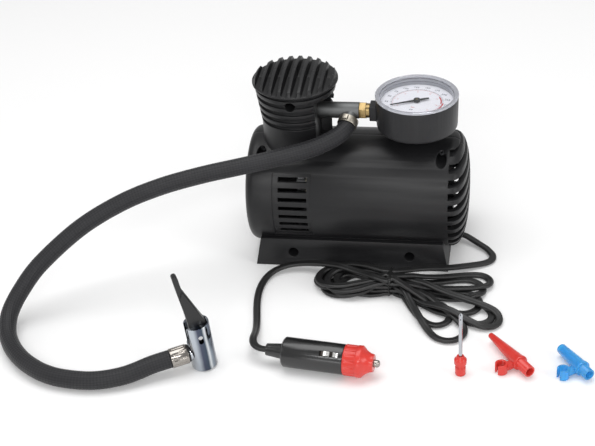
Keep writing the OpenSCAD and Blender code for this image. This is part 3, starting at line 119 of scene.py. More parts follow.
class Socket:
    """One output in a material's node tree, which takes part in sums."""

    def __init__(self, tree, socket):
        self.tree = tree
        self.socket = socket

    def node(self, kind, settings, *values, out=0, **named):
        """A new node in this tree. values and named go to its inputs, and None leaves an input as it is."""
        new = self.tree.nodes.new(kind)
        for key, value in settings.items():
            if key == "stops":
                ramp = new.color_ramp
                while len(ramp.elements) < len(value):
                    ramp.elements.new(1)
                for element, (place, colour) in zip(ramp.elements, value):
                    element.position = place
                    element.color = (*colour, 1)
            else:
                setattr(new, key, value)
        pairs = list(enumerate(values)) + [(k.replace("_", " "), v) for k, v in named.items()]
        for key, value in pairs:
            if value is None:
                continue
            if isinstance(value, Socket):
                self.tree.links.new(value.socket, new.inputs[key])
            else:
                new.inputs[key].default_value = value
        return Socket(self.tree, new.outputs[out])

    def maths(self, operation, *values):
        """A Math node with this link first."""
        return self.node("ShaderNodeMath", {"operation": operation}, self, *values)

    def __add__(self, other):
        return self.maths("ADD", other)

    __radd__ = __add__

    def __sub__(self, other):
        return self.maths("SUBTRACT", other)

    def __mul__(self, other):
        return self.maths("MULTIPLY", other)

    def __truediv__(self, other):
        return self.maths("DIVIDE", other)

    def between(self, low, high):
        """0 below low, 1 above high and a smooth step from one to the other."""
        smooth = {"interpolation_type": "SMOOTHSTEP"}
        return self.node("ShaderNodeMapRange", smooth, self, low, high, 0.0, 1.0)

    def axes(self):
        """The X, Y and Z of this vector."""
        split = self.node("ShaderNodeSeparateXYZ", {}, self).socket.node
        return [Socket(self.tree, output) for output in split.outputs]

    def ramp(self, stops):
        """The colour at this number, from stops of (place, colour)."""
        return self.node("ShaderNodeValToRGB", {"stops": stops}, self)

    def uv(self, layer):
        """A UV layer of the mesh."""
        return self.node("ShaderNodeUVMap", {"uv_map": layer})

    def noise(self, scale, detail=3.0, rough=0.55, stretch=None):
        """Cloudy noise at this place, 0 to 1. stretch scales the place along each axis first."""
        at = self if stretch is None else self.node("ShaderNodeMapping", {}, Vector=self, Scale=stretch)
        return self.node("ShaderNodeTexNoise", {}, Vector=at, Scale=scale, Detail=detail, Roughness=rough)

    def blend(self, low, high):
        """A colour between low and high, by this number."""
        ends = [(*low, 1.0), (*high, 1.0)]
        return self.node("ShaderNodeMix", {"data_type": "RGBA"}, self, *[None] * 5, *ends, out=2)


BEVEL_SAMPLES = 6


def surface(name):
    """The Object coordinates of a new material, from which its finish is worked out."""
    material = bpy.data.materials.new(name)
    material.use_nodes = True
    tree = material.node_tree
    tree.nodes.clear()
    place = Socket(tree, tree.nodes.new("ShaderNodeTexCoord").outputs["Object"])
    place.material = material
    return place


def finish(place, links, **fixed):
    """The finished material of a place.

    links go to the shader's sockets, with Height, the bump's height, and Rounding, the radius to which edges
    look rounded, both in millimetres. fixed is set on the shader's own sockets.
    """
    tree = place.tree
    output = tree.nodes.new("ShaderNodeOutputMaterial")
    shader = tree.nodes.new("ShaderNodeBsdfPrincipled")
    tree.links.new(shader.outputs[0], output.inputs[0])
    height = links.pop("Height", None)
    rounding = links.pop("Rounding", None)
    normal = None
    if rounding:
        normal = place.node("ShaderNodeBevel", {"samples": BEVEL_SAMPLES}, Radius=rounding * MM)
    if height is not None:
        normal = place.node("ShaderNodeBump", {}, Strength=1.0, Distance=MM, Height=height, Normal=normal)
    if normal is not None:
        links["Normal"] = normal
    for key, value in [*links.items(), *((k.replace("_", " "), v) for k, v in fixed.items())]:
        if isinstance(value, Socket):
            tree.links.new(value.socket, shader.inputs[key])
        else:
            shader.inputs[key].default_value = value
    return place.material


def moulded(name, dark, light, rough, grain=0.02, rounding=0.35, **fixed):
    """Injection-moulded plastic: fine spark-eroded grain, slow gloss changes and a few rub marks."""
    place = surface(name)
    cloud = place.noise(45.0, 4.0)
    fine = place.noise(1500.0, 2.0, 0.6)
    rub = place.noise(160.0, 3.0, 0.6, (1.0, 1.0, 6.0)).between(0.6, 0.78)
    tone = cloud * 0.7 + fine * 0.3
    return finish(place, {
        "Base Color": tone.blend(dark, light),
        "Roughness": rough - 0.08 + cloud * 0.14 + rub * -0.06,
        "Height": fine * grain + cloud * 0.05,
        "Rounding": rounding}, **fixed)


def glossy_plastic(name, dark, light, rough):
    """Coloured plastic with faint flow clouds and fine handling marks."""
    place = surface(name)
    flow = place.noise(110.0, 3.0, 0.5, (1.0, 2.0, 1.0))
    marks = place.noise(900.0, 2.0, 0.5, (1.0, 7.0, 1.0)).between(0.55, 0.8)
    return finish(place, {
        "Base Color": flow.blend(dark, light),
        "Roughness": rough + flow * 0.08 + marks * 0.1,
        "Height": flow * 0.03 + marks * 0.003,
        "Rounding": 0.15})


def metal(name, colour, shade, rough, lines=(1.0, 1.0, 1.0), dull=0.15):
    """Plated, turned or drawn metal. lines stretches the tool marks along an axis."""
    place = surface(name)
    cloud = place.noise(120.0, 4.0, 0.6)
    marks = place.noise(500.0, 3.0, 0.6, lines)
    spots = place.noise(420.0, 2.0).between(0.62, 0.75)
    tone = cloud * 0.6 + marks * 0.4
    return finish(place, {
        "Base Color": tone.blend(shade, colour),
        "Roughness": rough - 0.05 + cloud * dull * 0.6 + marks * dull * 0.5 + spots * 0.05,
        "Height": marks * 0.006,
        "Rounding": 0.15}, Metallic=1.0)


def chrome_with_painted_reflections(name, stops):
    """Chrome on the chuck, with the room's reflections painted into its colour as light and dark streaks
    along its axis. stops runs once round, 0 to 1.
    """
    place = surface(name)
    foot = (CHUCK_AT[0] * MM, CHUCK_AT[1] * MM, 0.0)
    local = place.node("ShaderNodeMapping", {"vector_type": "TEXTURE"}, Vector=place, Location=foot,
                       Rotation=(0.0, -CHUCK_LEAN, CHUCK_TURN))
    x, y, _ = local.axes()
    turn = y.maths("ARCTAN2", x) / (2 * math.pi) + 0.5
    waver = place.noise(60.0, 3.0) * 0.03 - 0.015
    wipes = place.noise(420.0, 2.0, 0.5, (1.0, 1.0, 0.2))
    return finish(place, {
        # The colour round the chuck is painted reflection: light bands, dark blue-grey bands and a white line
        "Base Color": (turn + waver).ramp(stops),
        "Roughness": 0.05 + wipes * 0.08,
        "Height": wipes * 0.003,
        "Rounding": 0.15}, Metallic=1.0)


# The length along which the painted highlight and shade bands of the contact run
PAINTED_BAND_LENGTH = 20 * MM


def strip_with_painted_highlights(name, start, along, stops):
    """Plated strip with bright bands painted as highlights and dark bands painted as shade. stops runs 20
    millimetres along the strip, from start.
    """
    place = surface(name)
    offset = place.node("ShaderNodeVectorMath", {"operation": "SUBTRACT"}, place, start)
    run = place.node("ShaderNodeVectorMath", {"operation": "DOT_PRODUCT"}, offset, along, out=1)
    rub = place.noise(900.0, 3.0)
    return finish(place, {
        # Base Color paints bright highlight bands and dark shade bands along the strip
        "Base Color": (run / PAINTED_BAND_LENGTH + rub * 0.03).ramp(stops),
        "Roughness": 0.16 + rub * 0.2,
        "Height": rub * 0.01}, Metallic=1.0)


def cast_alloy(name):
    """Die-cast metal: orange-peel skin, small pits and darker hollows."""
    place = surface(name)
    skin = place.noise(260.0, 4.0, 0.6)
    pits = place.node("ShaderNodeTexVoronoi", {}, Vector=place, Scale=300.0).between(0.02, 0.16)
    return finish(place, {
        "Base Color": (skin * 0.6 + pits * 0.4).blend((0.36, 0.36, 0.37), (0.66, 0.67, 0.69)),
        "Roughness": 0.38 + skin * 0.2,
        "Height": skin * 0.05 + pits * 0.02,
        "Rounding": 0.2}, Metallic=1.0)


def braided_cover():
    """Woven hose cover: yarns crossing at a slant, a little dusty on the crowns."""
    place = surface("braided_cover")
    length, around, _ = place.uv("along").axes()
    length, around = length / (YARN_PITCH * MM), around * float(YARNS)
    one = ((length + around) * (2 * math.pi)).maths("SINE")
    two = ((length - around) * (2 * math.pi)).maths("SINE")
    yarns = one * two * 0.5 + 0.5
    fibres = place.noise(2600.0, 3.0, 0.7)
    dust = place.noise(70.0, 4.0)
    return finish(place, {
        "Base Color": (yarns * 0.4 + fibres * 0.3 + dust * 0.3).blend(
            (0.003, 0.003, 0.0035), (0.03, 0.03, 0.034)),
        "Roughness": 0.42 + fibres * 0.2 - yarns * 0.08,
        "Height": yarns * 0.12 + fibres * 0.03},
        Sheen_Weight=0.08, Sheen_Roughness=0.4, Specular_IOR_Level=0.34)


def cord_jacket():
    """Extruded cord jacket: satin black with faint lines along its length."""
    place = surface("cord_jacket")
    lines = place.uv("along").noise(60.0, 3.0, 0.6, (0.3, 9.0, 1.0))
    smudge = place.noise(130.0, 3.0)
    return finish(place, {
        "Base Color": (lines * 0.5 + smudge * 0.5).blend((0.005, 0.005, 0.005), (0.018, 0.018, 0.0185)),
        "Roughness": 0.28 + smudge * 0.18 + lines * 0.06,
        "Height": lines * 0.03})


def clear_plastic(name, tint, rough, weight):
    """See-through plastic with faint haze and moulding clouds."""
    place = surface(name)
    haze = place.noise(90.0, 3.0)
    return finish(place, {
        "Base Color": haze.blend(tint, tuple(min(1.0, c * 1.08 + 0.01) for c in tint)),
        "Roughness": rough + haze * rough,
        "Height": haze * 0.02}, Transmission_Weight=weight)


def clear_with_painted_shade_rings(name, z0, z1, rough, weight, stops):
    """Clear plastic with dark rings painted into its colour, the painted shade of the black case seen through
    its steps. stops runs from z0 to z1.
    """
    place = surface(name)
    _, _, height = place.axes()
    haze = place.noise(90.0, 3.0)
    along = (height / MM - z0) / (z1 - z0) + haze * 0.02
    return finish(place, {
        # Base Color paints the dark refraction rings of the case as shade, by height
        "Base Color": along.ramp(stops),
        "Roughness": rough + haze * rough,
        "Height": haze * 0.02}, Transmission_Weight=weight)


def thin_clear(name, tint, solidness, rough, shine):
    """Thin clear plastic seen straight through, a little hazy where it has been handled."""
    place = surface(name)
    haze = place.noise(70.0, 3.0, 0.5)
    wipes = place.noise(240.0, 2.0, 0.5, (1.0, 5.0, 1.0)).between(0.55, 0.85)
    return finish(place, {
        "Base Color": haze.blend(tuple(c * 0.94 for c in tint), tint),
        "Alpha": solidness * 0.8 + haze * (solidness * 0.4) + wipes * 0.02,
        "Roughness": rough + haze * 0.03 + wipes * 0.05,
        "Height": haze * 0.01}, Metallic=shine)


def printed_card():
    """White dial card with a faint paper grain."""
    place = surface("printed_card")
    paper = place.noise(1400.0, 3.0)
    tone = place.noise(60.0, 2.0)
    return finish(place, {
        "Base Color": (paper * 0.5 + tone * 0.5).blend((0.8, 0.8, 0.86), (0.88, 0.885, 0.94)),
        "Roughness": 0.5 + paper * 0.15})


def ink(name, dark, light):
    """Printing ink, a little worn."""
    place = surface(name)
    wear = place.noise(2200.0, 2.0)
    return finish(place, {"Base Color": wear.blend(dark, light), "Roughness": 0.35 + wear * 0.2})


def enamelled_wire():
    """Copper windings: close turns with a coloured lacquer."""
    place = surface("enamelled_wire")
    turns = place.noise(900.0, 2.0, 0.5, (0.2, 1.0, 1.0))
    tone = place.noise(200.0, 3.0)
    return finish(place, {
        "Base Color": (turns * 0.6 + tone * 0.4).blend((0.2, 0.045, 0.012), (0.75, 0.3, 0.1)),
        "Roughness": 0.25 + turns * 0.2,
        "Height": turns * 0.15}, Metallic=0.8)


# Each finish runs between two colours, and the first number after them is its roughness
FINISH = {
    "housing": moulded("housing_plastic", (0.008, 0.008, 0.0085), (0.015, 0.015, 0.0165), 0.42, 0.03, 0.6,
                       Specular_IOR_Level=0.37),
    "bell": moulded("bell_plastic", (0.02, 0.02, 0.022), (0.04, 0.04, 0.042), 0.5),
    "lever": moulded("lever_plastic", (0.006, 0.006, 0.0065), (0.013, 0.013, 0.014), 0.36, 0.01, 0.5),
    "plug_black": moulded("plug_plastic", (0.006, 0.006, 0.0065), (0.014, 0.014, 0.0145), 0.24, 0.01, 0.3,
                         Specular_IOR_Level=0.7),
    "gauge_paint": moulded("gauge_paint", (0.015, 0.015, 0.0165), (0.025, 0.025, 0.027), 0.42, 0.03, 0.5,
                          Specular_IOR_Level=0.32),
    "rubber": moulded("seal_rubber", (0.008, 0.008, 0.008), (0.02, 0.02, 0.02), 0.6, 0.04, 0.2),
    "tie": moulded("tie_plastic", (0.006, 0.006, 0.006), (0.014, 0.014, 0.014), 0.35, 0.01, 0.0),
    "nylon": moulded("gear_nylon", (0.5, 0.46, 0.36), (0.66, 0.62, 0.52), 0.42, 0.02, 0.15),
    "ferrite": moulded("ferrite", (0.03, 0.028, 0.027), (0.07, 0.065, 0.06), 0.65, 0.06, 0.2),
    "red": glossy_plastic("bright_red_plastic", (0.6, 0.032, 0.024), (0.72, 0.055, 0.042), 0.17),
    "blue": clear_plastic("blue_plastic", (0.07, 0.5, 1.0), 0.14, 0.55),
    "lens": thin_clear("lens_plastic", (0.93, 0.95, 1.0), 0.05, 0.03, 1.0),
    # The bezel's dark stops are painted shade: rings where the black case shows through the clear steps
    "bezel": clear_with_painted_shade_rings("bezel_plastic", 112.4, 118.4, 0.02, 0.72, [
        (0.0, (0.7, 0.73, 0.82)), (0.2, (0.9, 0.92, 0.98)), (0.44, (0.88, 0.9, 0.97)),
        (0.5, (0.3, 0.33, 0.42)), (0.57, (0.9, 0.92, 0.98)), (0.8, (0.93, 0.95, 1.0)),
        (0.86, (0.28, 0.28, 0.32)), (0.92, (0.86, 0.87, 0.93))]),
    "fuse_glass": clear_plastic("fuse_glass", (0.9, 0.95, 0.97), 0.02, 0.9),
    "chrome": metal("chrome_plate", (0.56, 0.58, 0.61), (0.4, 0.42, 0.45), 0.08, dull=0.08),
    "nickel": metal("nickel_plate", (0.45, 0.42, 0.385), (0.26, 0.24, 0.22), 0.16, dull=0.12),
    # The chuck's stops are painted reflections of the room, light and dark streaks running round it
    "chuck_chrome": chrome_with_painted_reflections("chuck_chrome", [
        (0.0, (0.42, 0.45, 0.48)), (0.10, (0.52, 0.55, 0.59)), (0.17, (0.46, 0.5, 0.55)),
        (0.225, (0.08, 0.09, 0.13)), (0.285, (0.06, 0.08, 0.11)), (0.315, (0.67, 0.7, 0.72)),
        (0.345, (0.25, 0.29, 0.34)), (0.4, (0.07, 0.08, 0.11)), (0.46, (0.25, 0.28, 0.32)),
        (0.55, (0.5, 0.54, 0.57)), (0.66, (0.42, 0.45, 0.49)), (0.72, (0.12, 0.13, 0.17)),
        (0.78, (0.59, 0.61, 0.65)), (0.86, (0.17, 0.18, 0.23)), (0.93, (0.29, 0.32, 0.36)),
        (1.0, (0.42, 0.45, 0.48))]),
    "steel": metal("ground_steel", (0.66, 0.66, 0.67), (0.42, 0.42, 0.43), 0.24, (1.0, 8.0, 8.0)),
    "tube_steel": metal("satin_tube", (0.24, 0.245, 0.245), (0.12, 0.125, 0.125), 0.5, (1.0, 9.0, 9.0)),
    # The contact's stops are painted: bright bands for highlights, dark bands for shade
    "contact": strip_with_painted_highlights("contact_strip", (-0.0045, -0.1528, 0.0), (0.9925, -0.1219, 0.0), [
        (0.0, (0.05, 0.045, 0.04)), (0.13, (0.06, 0.05, 0.045)), (0.16, (0.95, 0.94, 0.92)),
        (0.33, (0.95, 0.94, 0.92)), (0.36, (0.05, 0.045, 0.04)), (0.44, (0.06, 0.055, 0.05)),
        (0.47, (0.95, 0.94, 0.92)), (1.0, (0.9, 0.89, 0.87))]),
    "zinc": metal("zinc_strip", (0.62, 0.58, 0.5), (0.34, 0.31, 0.26), 0.4),
    "brass": metal("machined_brass", (0.46, 0.34, 0.16), (0.26, 0.18, 0.08), 0.3, (1.0, 6.0, 6.0)),
    "copper": metal("copper_bars", (0.8, 0.42, 0.24), (0.48, 0.2, 0.1), 0.3),
    "lamination": metal("stacked_laminations", (0.4, 0.4, 0.42), (0.2, 0.2, 0.21), 0.4, (30.0, 1.0, 1.0)),
    "can": metal("drawn_can", (0.56, 0.57, 0.58), (0.34, 0.35, 0.36), 0.32, (8.0, 1.0, 1.0)),
    "black_steel": metal("blackened_steel", (0.16, 0.16, 0.17), (0.07, 0.07, 0.075), 0.35),
    "alloy": cast_alloy("cast_alloy"),
    "card": printed_card(),
    "black_ink": ink("blue_black_ink", (0.035, 0.045, 0.065), (0.1, 0.12, 0.16)),
    "red_ink": ink("red_ink", (0.55, 0.16, 0.17), (0.7, 0.3, 0.3)),
    "band_ink": ink("band_ink", (0.5, 0.015, 0.03), (0.65, 0.05, 0.06)),
    "needle": ink("needle_paint", (0.006, 0.006, 0.006), (0.02, 0.02, 0.02)),
    "wire": enamelled_wire(),
    "braid": braided_cover(),
    "cord": cord_jacket(),
}

# The finish of each of the record's material slots, and of the nodes that differ from their slot
SLOT_FINISH = {
    "housing": "housing", "screw_steel": "black_steel", "cast_alloy": "alloy", "can_steel": "can",
    "bell_plastic": "bell", "magnet": "ferrite", "carbon": "ferrite", "shaft_steel": "steel",
    "lamination": "lamination", "copper_wire": "wire", "copper_bar": "copper", "sintered_gear": "brass",
    "gear_nylon": "nylon", "piston_alloy": "alloy", "piston_seal": "rubber", "sleeve_alloy": "alloy",
    "valve_plate": "steel", "ball_rubber": "rubber", "spring_steel": "steel", "manifold_metal": "tube_steel",
    "nut_brass": "brass", "clip_metal": "zinc", "gauge_black": "gauge_paint", "bezel_chrome": "bezel",
    "lens_clear": "lens", "dial_white": "card", "needle_black": "needle", "movement_brass": "brass",
    "hose_black": "braid", "chrome": "chrome", "lever_black": "lever", "seal_rubber": "rubber",
    "cord_black": "rubber", "tie_black": "tie", "plug_black": "plug_black", "plug_red": "red",
    "fuse_glass": "fuse_glass", "contact_plated": "zinc", "adapter_red": "red", "adapter_blue": "blue"}
NODE_FINISH = {"chuck_body": "chuck_chrome", "chuck_ferrule": "nickel", "plug_tip": "nickel",
               "plug_contact_upper": "contact", "plug_contact_lower": "contact"}


def finish_of(node):
    return NODE_FINISH.get(node, SLOT_FINISH[SLOT_OF[node]])


# ---------- Shapes ----------

def piece(name, mesh, body, finish_name, replaces=(), sharp=35):
    """A visible piece on a body, from a mesh or a BMesh. Edges sharper than sharp degrees stay crisp."""
    if isinstance(mesh, bmesh.types.BMesh):
        data = bpy.data.meshes.new(name)
        mesh.to_mesh(data)
        mesh.free()
        mesh = data
    mesh.name = name
    mesh.shade_smooth()
    if sharp:
        mesh.set_sharp_from_angle(angle=math.radians(sharp))
    mesh.materials.clear()
    mesh.materials.append(FINISH[finish_name])
    obj = bpy.data.objects.new(name, mesh)
    bpy.context.scene.collection.objects.link(obj)
    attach(obj, body)
    if replaces:
        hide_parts(*replaces)
    return obj


CURVE_STEPS = 24


def smooth_route(points, step):
    """Evenly spaced points, in metres, on a Catmull-Rom curve through points given in millimetres."""
    p = np.array(points, float) * MM
    ends = np.vstack([2 * p[0] - p[1], p, 2 * p[-1] - p[-2]])
    fine = []
    for a, b, c, d in zip(ends[:-3], ends[1:-2], ends[2:-1], ends[3:]):
        t = np.linspace(0, 1, CURVE_STEPS, endpoint=False)[:, None]
        fine.append(b + t / 2 * ((c - a) + t * ((2 * a - 5 * b + 4 * c - d) + t * (3 * (b - c) + d - a))))
    fine = np.vstack(fine + [p[-1:]])
    return respaced(fine, step)


def respaced(line, step):
    """The same line with evenly spaced points, about step apart."""
    gaps = np.linalg.norm(np.diff(line, axis=0), axis=1)
    run = np.concatenate([[0], np.cumsum(gaps)])
    count = max(8, int(round(run[-1] / step)))
    at = np.linspace(0, run[-1], count + 1)
    return np.stack([np.interp(at, run, line[:, k]) for k in range(3)], 1)


def tube(line, outline, roll=None, swell=None):
    """A closed tube along a line of points.

    outline is the section in metres, as (across, up) pairs. roll turns it about the line, one angle for each
    point. swell(points, corners) returns how far each corner of the tube stands out.
    """
    n, m = len(line), len(outline)
    ahead = np.gradient(line, axis=0)
    ahead /= np.linalg.norm(ahead, axis=1)[:, None]
    side = np.cross(ahead, (0, 0, 1.0))
    side /= np.maximum(np.linalg.norm(side, axis=1), 1e-9)[:, None]
    up = np.cross(side, ahead)
    angle = np.zeros(n) if roll is None else roll
    c, s = np.cos(angle)[:, None], np.sin(angle)[:, None]
    side, up = side * c + up * s, up * c - side * s
    section = np.array(outline)
    rings = line[:, None] + side[:, None] * section[None, :, :1] + up[:, None] * section[None, :, 1:]
    if swell is not None:
        out = rings - line[:, None]
        out /= np.linalg.norm(out, axis=2)[:, :, None]
        rings += out * swell(n, m)[:, :, None]
    mesh = bpy.data.meshes.new("tube")
    walls = [(i, j) for i in range(n - 1) for j in range(m)]
    faces = [(i * m + j, i * m + (j + 1) % m, (i + 1) * m + (j + 1) % m, (i + 1) * m + j) for i, j in walls]
    faces += [tuple(range(m - 1, -1, -1)), tuple(range((n - 1) * m, n * m))]
    mesh.from_pydata(rings.reshape(-1, 3).tolist(), [], faces)
    run = np.concatenate([[0], np.cumsum(np.linalg.norm(np.diff(line, axis=0), axis=1))])
    flat = np.zeros((len(mesh.loops), 2))
    for k, (i, j) in enumerate(walls):
        flat[4 * k:4 * k + 4] = ((run[i], j / m), (run[i], (j + 1) / m),
                                 (run[i + 1], (j + 1) / m), (run[i + 1], j / m))
    mesh.uv_layers.new(name="along").data.foreach_set("uv", flat.ravel())
    bm = bmesh.new()
    bm.from_mesh(mesh)
    bmesh.ops.recalc_face_normals(bm, faces=bm.faces)
    bm.to_mesh(mesh)
    bm.free()
    return mesh


def circle(radius, count):
    return [(radius * math.cos(2 * math.pi * k / count), radius * math.sin(2 * math.pi * k / count))
            for k in range(count)]


def turned_ring(profile, place, count=96):
    """A ring about the Z of place. profile is its closed section, as (radius, height) in millimetres."""
    bm = bmesh.new()
    angles = [2 * math.pi * k / count for k in range(count)]
    rings = [[bm.verts.new((r * MM * math.cos(a), r * MM * math.sin(a), h * MM)) for a in angles]
             for r, h in profile]
    for low, high in zip(rings, rings[1:] + rings[:1]):
        for k in range(count):
            after = (k + 1) % count
            bm.faces.new((low[k], low[after], high[after], high[k]))
    bmesh.ops.transform(bm, matrix=place, verts=bm.verts)
    bmesh.ops.recalc_face_normals(bm, faces=bm.faces)
    return bm


def edge_key(edge):
    """An edge's two ends, in millionths of a metre, which know it again after its neighbours are cut."""
    return tuple(sorted(tuple(round(c * 1e6) for c in v.co) for v in edge.verts))


def edge_loops(bm, angle):
    """The sharp edges of a solid, as groups that hang together, each edge known by its ends."""
    in_order = [e for e in bm.edges if len(e.link_faces) == 2 and e.calc_face_angle(0) > math.radians(angle)]
    sharp = set(in_order)
    groups = []
    for first in in_order:
        if first not in sharp:
            continue
        sharp.remove(first)
        group, front = set(), [first]
        while front:
            edge = front.pop()
            group.add(edge_key(edge))
            for other in (e for v in edge.verts for e in v.link_edges):
                if other in sharp:
                    sharp.remove(other)
                    front.append(other)
        groups.append(group)
    return groups


CAP_X, CAP_RADIUS = -39, 29.8
RIB_FOOT, RIB_PITCH, RIB_HALF = 130.4, 6.7, 1.9
RIB_SLIMMING = 0.32


def slim_ribs(bm):
    """Draws the flanks of the cap's ribs in towards their crests."""
    for v in bm.verts:
        x, y, z = v.co / MM
        x -= CAP_X
        if z > RIB_FOOT and math.hypot(x, y) < CAP_RADIUS:
            off = x - RIB_PITCH * round(x / RIB_PITCH)
            if abs(off) < RIB_HALF:
                v.co.x -= RIB_SLIMMING * off * MM


def bevelled(bm, group, width):
    """The solid with one group of edges rounded, in a fresh BMesh, which makes every run round alike."""
    edges = [e for e in bm.edges if edge_key(e) in group]
    bmesh.ops.bevel(bm, geom=edges, offset=width * MM, segments=2, profile=0.5, affect="EDGES",
                    clamp_overlap=True, offset_type="OFFSET")
    data = bpy.data.meshes.new("bevelled")
    bm.to_mesh(data)
    bm.free()
    fresh = bmesh.new()
    fresh.from_mesh(data)
    bpy.data.meshes.remove(data)
    return fresh


WELD = 3e-6
FLAT_ANGLE, SHARP_ANGLE, CRISP_ANGLE = 0.6, 28, 32


def softened(node, width):
    """A copy of a rigid solid with its edges rounded, which stands for it."""
    bm = bmesh.new()
    bm.from_mesh(NODES[node].data)
    bmesh.ops.remove_doubles(bm, verts=bm.verts, dist=WELD)
    bmesh.ops.dissolve_limit(bm, angle_limit=math.radians(FLAT_ANGLE), verts=bm.verts, edges=bm.edges)
    for group in edge_loops(bm, SHARP_ANGLE):
        bm = bevelled(bm, group, width)
    if node in ("housing_front", "housing_rear"):
        slim_ribs(bm)
    return piece(node + "_finished", bm, BODY_OF[node], finish_of(node), [node], CRISP_ANGLE)


# ---------- Repeated parts, grown by Geometry Nodes ----------

class Growth:
    """A Geometry Nodes tree with named inputs. Its sums are written as a material's are."""

    def __init__(self, name, **inputs):
        self.tree = bpy.data.node_groups.new(name, "GeometryNodeTree")
        face = self.tree.interface
        face.new_socket("Geometry", in_out="INPUT", socket_type="NodeSocketGeometry")
        for label, value in inputs.items():
            kind = {int: "Int", float: "Float", tuple: "Vector"}.get(type(value), "Material")
            socket = face.new_socket(label.replace("_", " "), in_out="INPUT", socket_type="NodeSocket" + kind)
            if value is not None:
                socket.default_value = value
        face.new_socket("Geometry", in_out="OUTPUT", socket_type="NodeSocketGeometry")
        self.start = self.tree.nodes.new("NodeGroupInput")
        self.end = self.tree.nodes.new("NodeGroupOutput")
        self.tool = Socket(self.tree, None)

    def given(self, label):
        """One of the tree's own inputs."""
        return Socket(self.tree, self.start.outputs[label])

    def spread(self, mesh, points, turn):
        """Ends the tree: one copy of mesh on each point, made real, with the material."""
        node = self.tool.node
        copies = node("GeometryNodeInstanceOnPoints", {}, Points=points, Instance=mesh, Rotation=turn)
        real = node("GeometryNodeRealizeInstances", {}, copies)
        coated = node("GeometryNodeSetMaterial", {}, Geometry=real, Material=self.given("Material"))
        self.tree.links.new(coated.socket, self.end.inputs[0])
        return self.tree


def ring_points(growth, step):
    """Points round a circle and the turn of each: Start, then one step of angle after another."""
    index = growth.tool.node("GeometryNodeInputIndex", {})
    angle = growth.given("Start") + index * step
    along = angle.maths("COSINE") * growth.given("Radius")
    beside = angle.maths("SINE") * growth.given("Radius")
    place = growth.tool.node("ShaderNodeCombineXYZ", {}, along, beside, 0.0)
    points = growth.tool.node("GeometryNodePoints", {}, Count=growth.given("Count"), Position=place)
    return points, growth.tool.node("ShaderNodeCombineXYZ", {}, 0.0, 0.0, angle)


def scale_mark_tree():
    """Flat strokes round a dial, each pointing at its middle."""
    growth = Growth("scale_marks", Count=61, Radius=0.018, Start=0.0, Sweep=-4.0, Length=0.001, Width=0.0002,
                    Height=0.00006, Material=None)
    points, turn = ring_points(growth, growth.given("Sweep") / (growth.given("Count") - 1.0))
    size = growth.tool.node("ShaderNodeCombineXYZ", {}, growth.given("Length"), growth.given("Width"),
                            growth.given("Height"))
    return growth.spread(growth.tool.node("GeometryNodeMeshCube", {}, size), points, turn)


def screw_tree():
    """Pan-head screws with a cross recess, one on each point given, pointing where Turn says."""
    growth = Growth("cross_screws", Head_radius=0.0029, Head_height=0.002, Shank_radius=0.0015,
                    Shank_length=0.018, Turn=(0.0, 0.0, 0.0), Material=None)
    tool, given = growth.tool, growth.given

    def upright(kind, shift, *values, **named):
        """A primitive, moved along Z."""
        body = tool.node(kind, {}, *values, **named)
        return tool.node("GeometryNodeTransform", {}, Geometry=body,
                         Translation=tool.node("ShaderNodeCombineXYZ", {}, 0.0, 0.0, shift))

    skirt = upright("GeometryNodeMeshCylinder", given("Head height") * 0.275, 40, 1, 1, given("Head radius"),
                    given("Head height") * 0.55)
    crown = upright("GeometryNodeMeshCone", given("Head height") * 0.55, 40, 1, 1,
                    given("Head radius") * 0.72, given("Head radius"), given("Head height") * 0.45)
    shank = upright("GeometryNodeMeshCylinder", given("Shank length") * -0.5 + 0.0001, 24, 1, 1,
                    given("Shank radius"), given("Shank length"))
    whole = tool.node("GeometryNodeMeshBoolean", {"operation": "UNION"}, None, skirt)
    for part in (crown, shank):
        growth.tree.links.new(part.socket, whole.socket.node.inputs["Mesh 2"])
    arm, slit = given("Head radius") * 1.1, given("Head radius") * 0.26
    deep = given("Head height") * 1.1
    cut = None
    for sides in ((arm, slit, deep), (slit, arm, deep)):
        size = tool.node("ShaderNodeCombineXYZ", {}, *sides)
        bar = upright("GeometryNodeMeshCube", given("Head height") * 1.05, size)
        if cut is None:
            cut = tool.node("GeometryNodeMeshBoolean", {"operation": "DIFFERENCE"}, whole, bar)
        else:
            growth.tree.links.new(bar.socket, cut.socket.node.inputs["Mesh 2"])
    return growth.spread(cut, given("Geometry"), given("Turn"))


def grown(tree, base=None, **values):
    """The plain mesh that a tree makes of these values."""
    host = bpy.data.objects.new("host", base or bpy.data.meshes.new("host"))
    bpy.context.scene.collection.objects.link(host)
    modifier = host.modifiers.new("growth", "NODES")
    modifier.node_group = tree
    for item in tree.interface.items_tree:
        label = item.name.replace(" ", "_")
        if item.item_type == "SOCKET" and item.in_out == "INPUT" and label in values:
            modifier[item.identifier] = values[label]
    mesh = bpy.data.meshes.new_from_object(host.evaluated_get(bpy.context.evaluated_depsgraph_get()))
    host.modifiers.remove(modifier)
    bpy.data.objects.remove(host)
    return mesh


# ---------- Hose ----------

OUTLET_TURN, OUTLET_DIP, OUTLET_HEIGHT = math.radians(254), math.radians(27), 105.1
CHUCK_FOOT_RADIUS = 8.4


def tube_point(s):
    """A point s millimetres out along the outlet's barb."""
    level = math.cos(OUTLET_DIP)
    return [s * math.cos(OUTLET_TURN) * level, s * math.sin(OUTLET_TURN) * level,
            OUTLET_HEIGHT - s * math.sin(OUTLET_DIP)]


def chuck_frame():
    """The chuck's axis, which leans on the rim of its foot."""
    foot = Vector((*CHUCK_AT, CHUCK_FOOT_RADIUS * math.sin(CHUCK_LEAN))) * MM
    return (Matrix.Translation(foot) @ Matrix.Rotation(CHUCK_TURN, 4, "Z")
            @ Matrix.Rotation(-CHUCK_LEAN, 4, "Y"))


def chuck_point(x, z):
    """A point in the chuck's own frame, in millimetres there and here."""
    return list(chuck_frame() @ Vector((x * MM, 0, z * MM)) / MM)


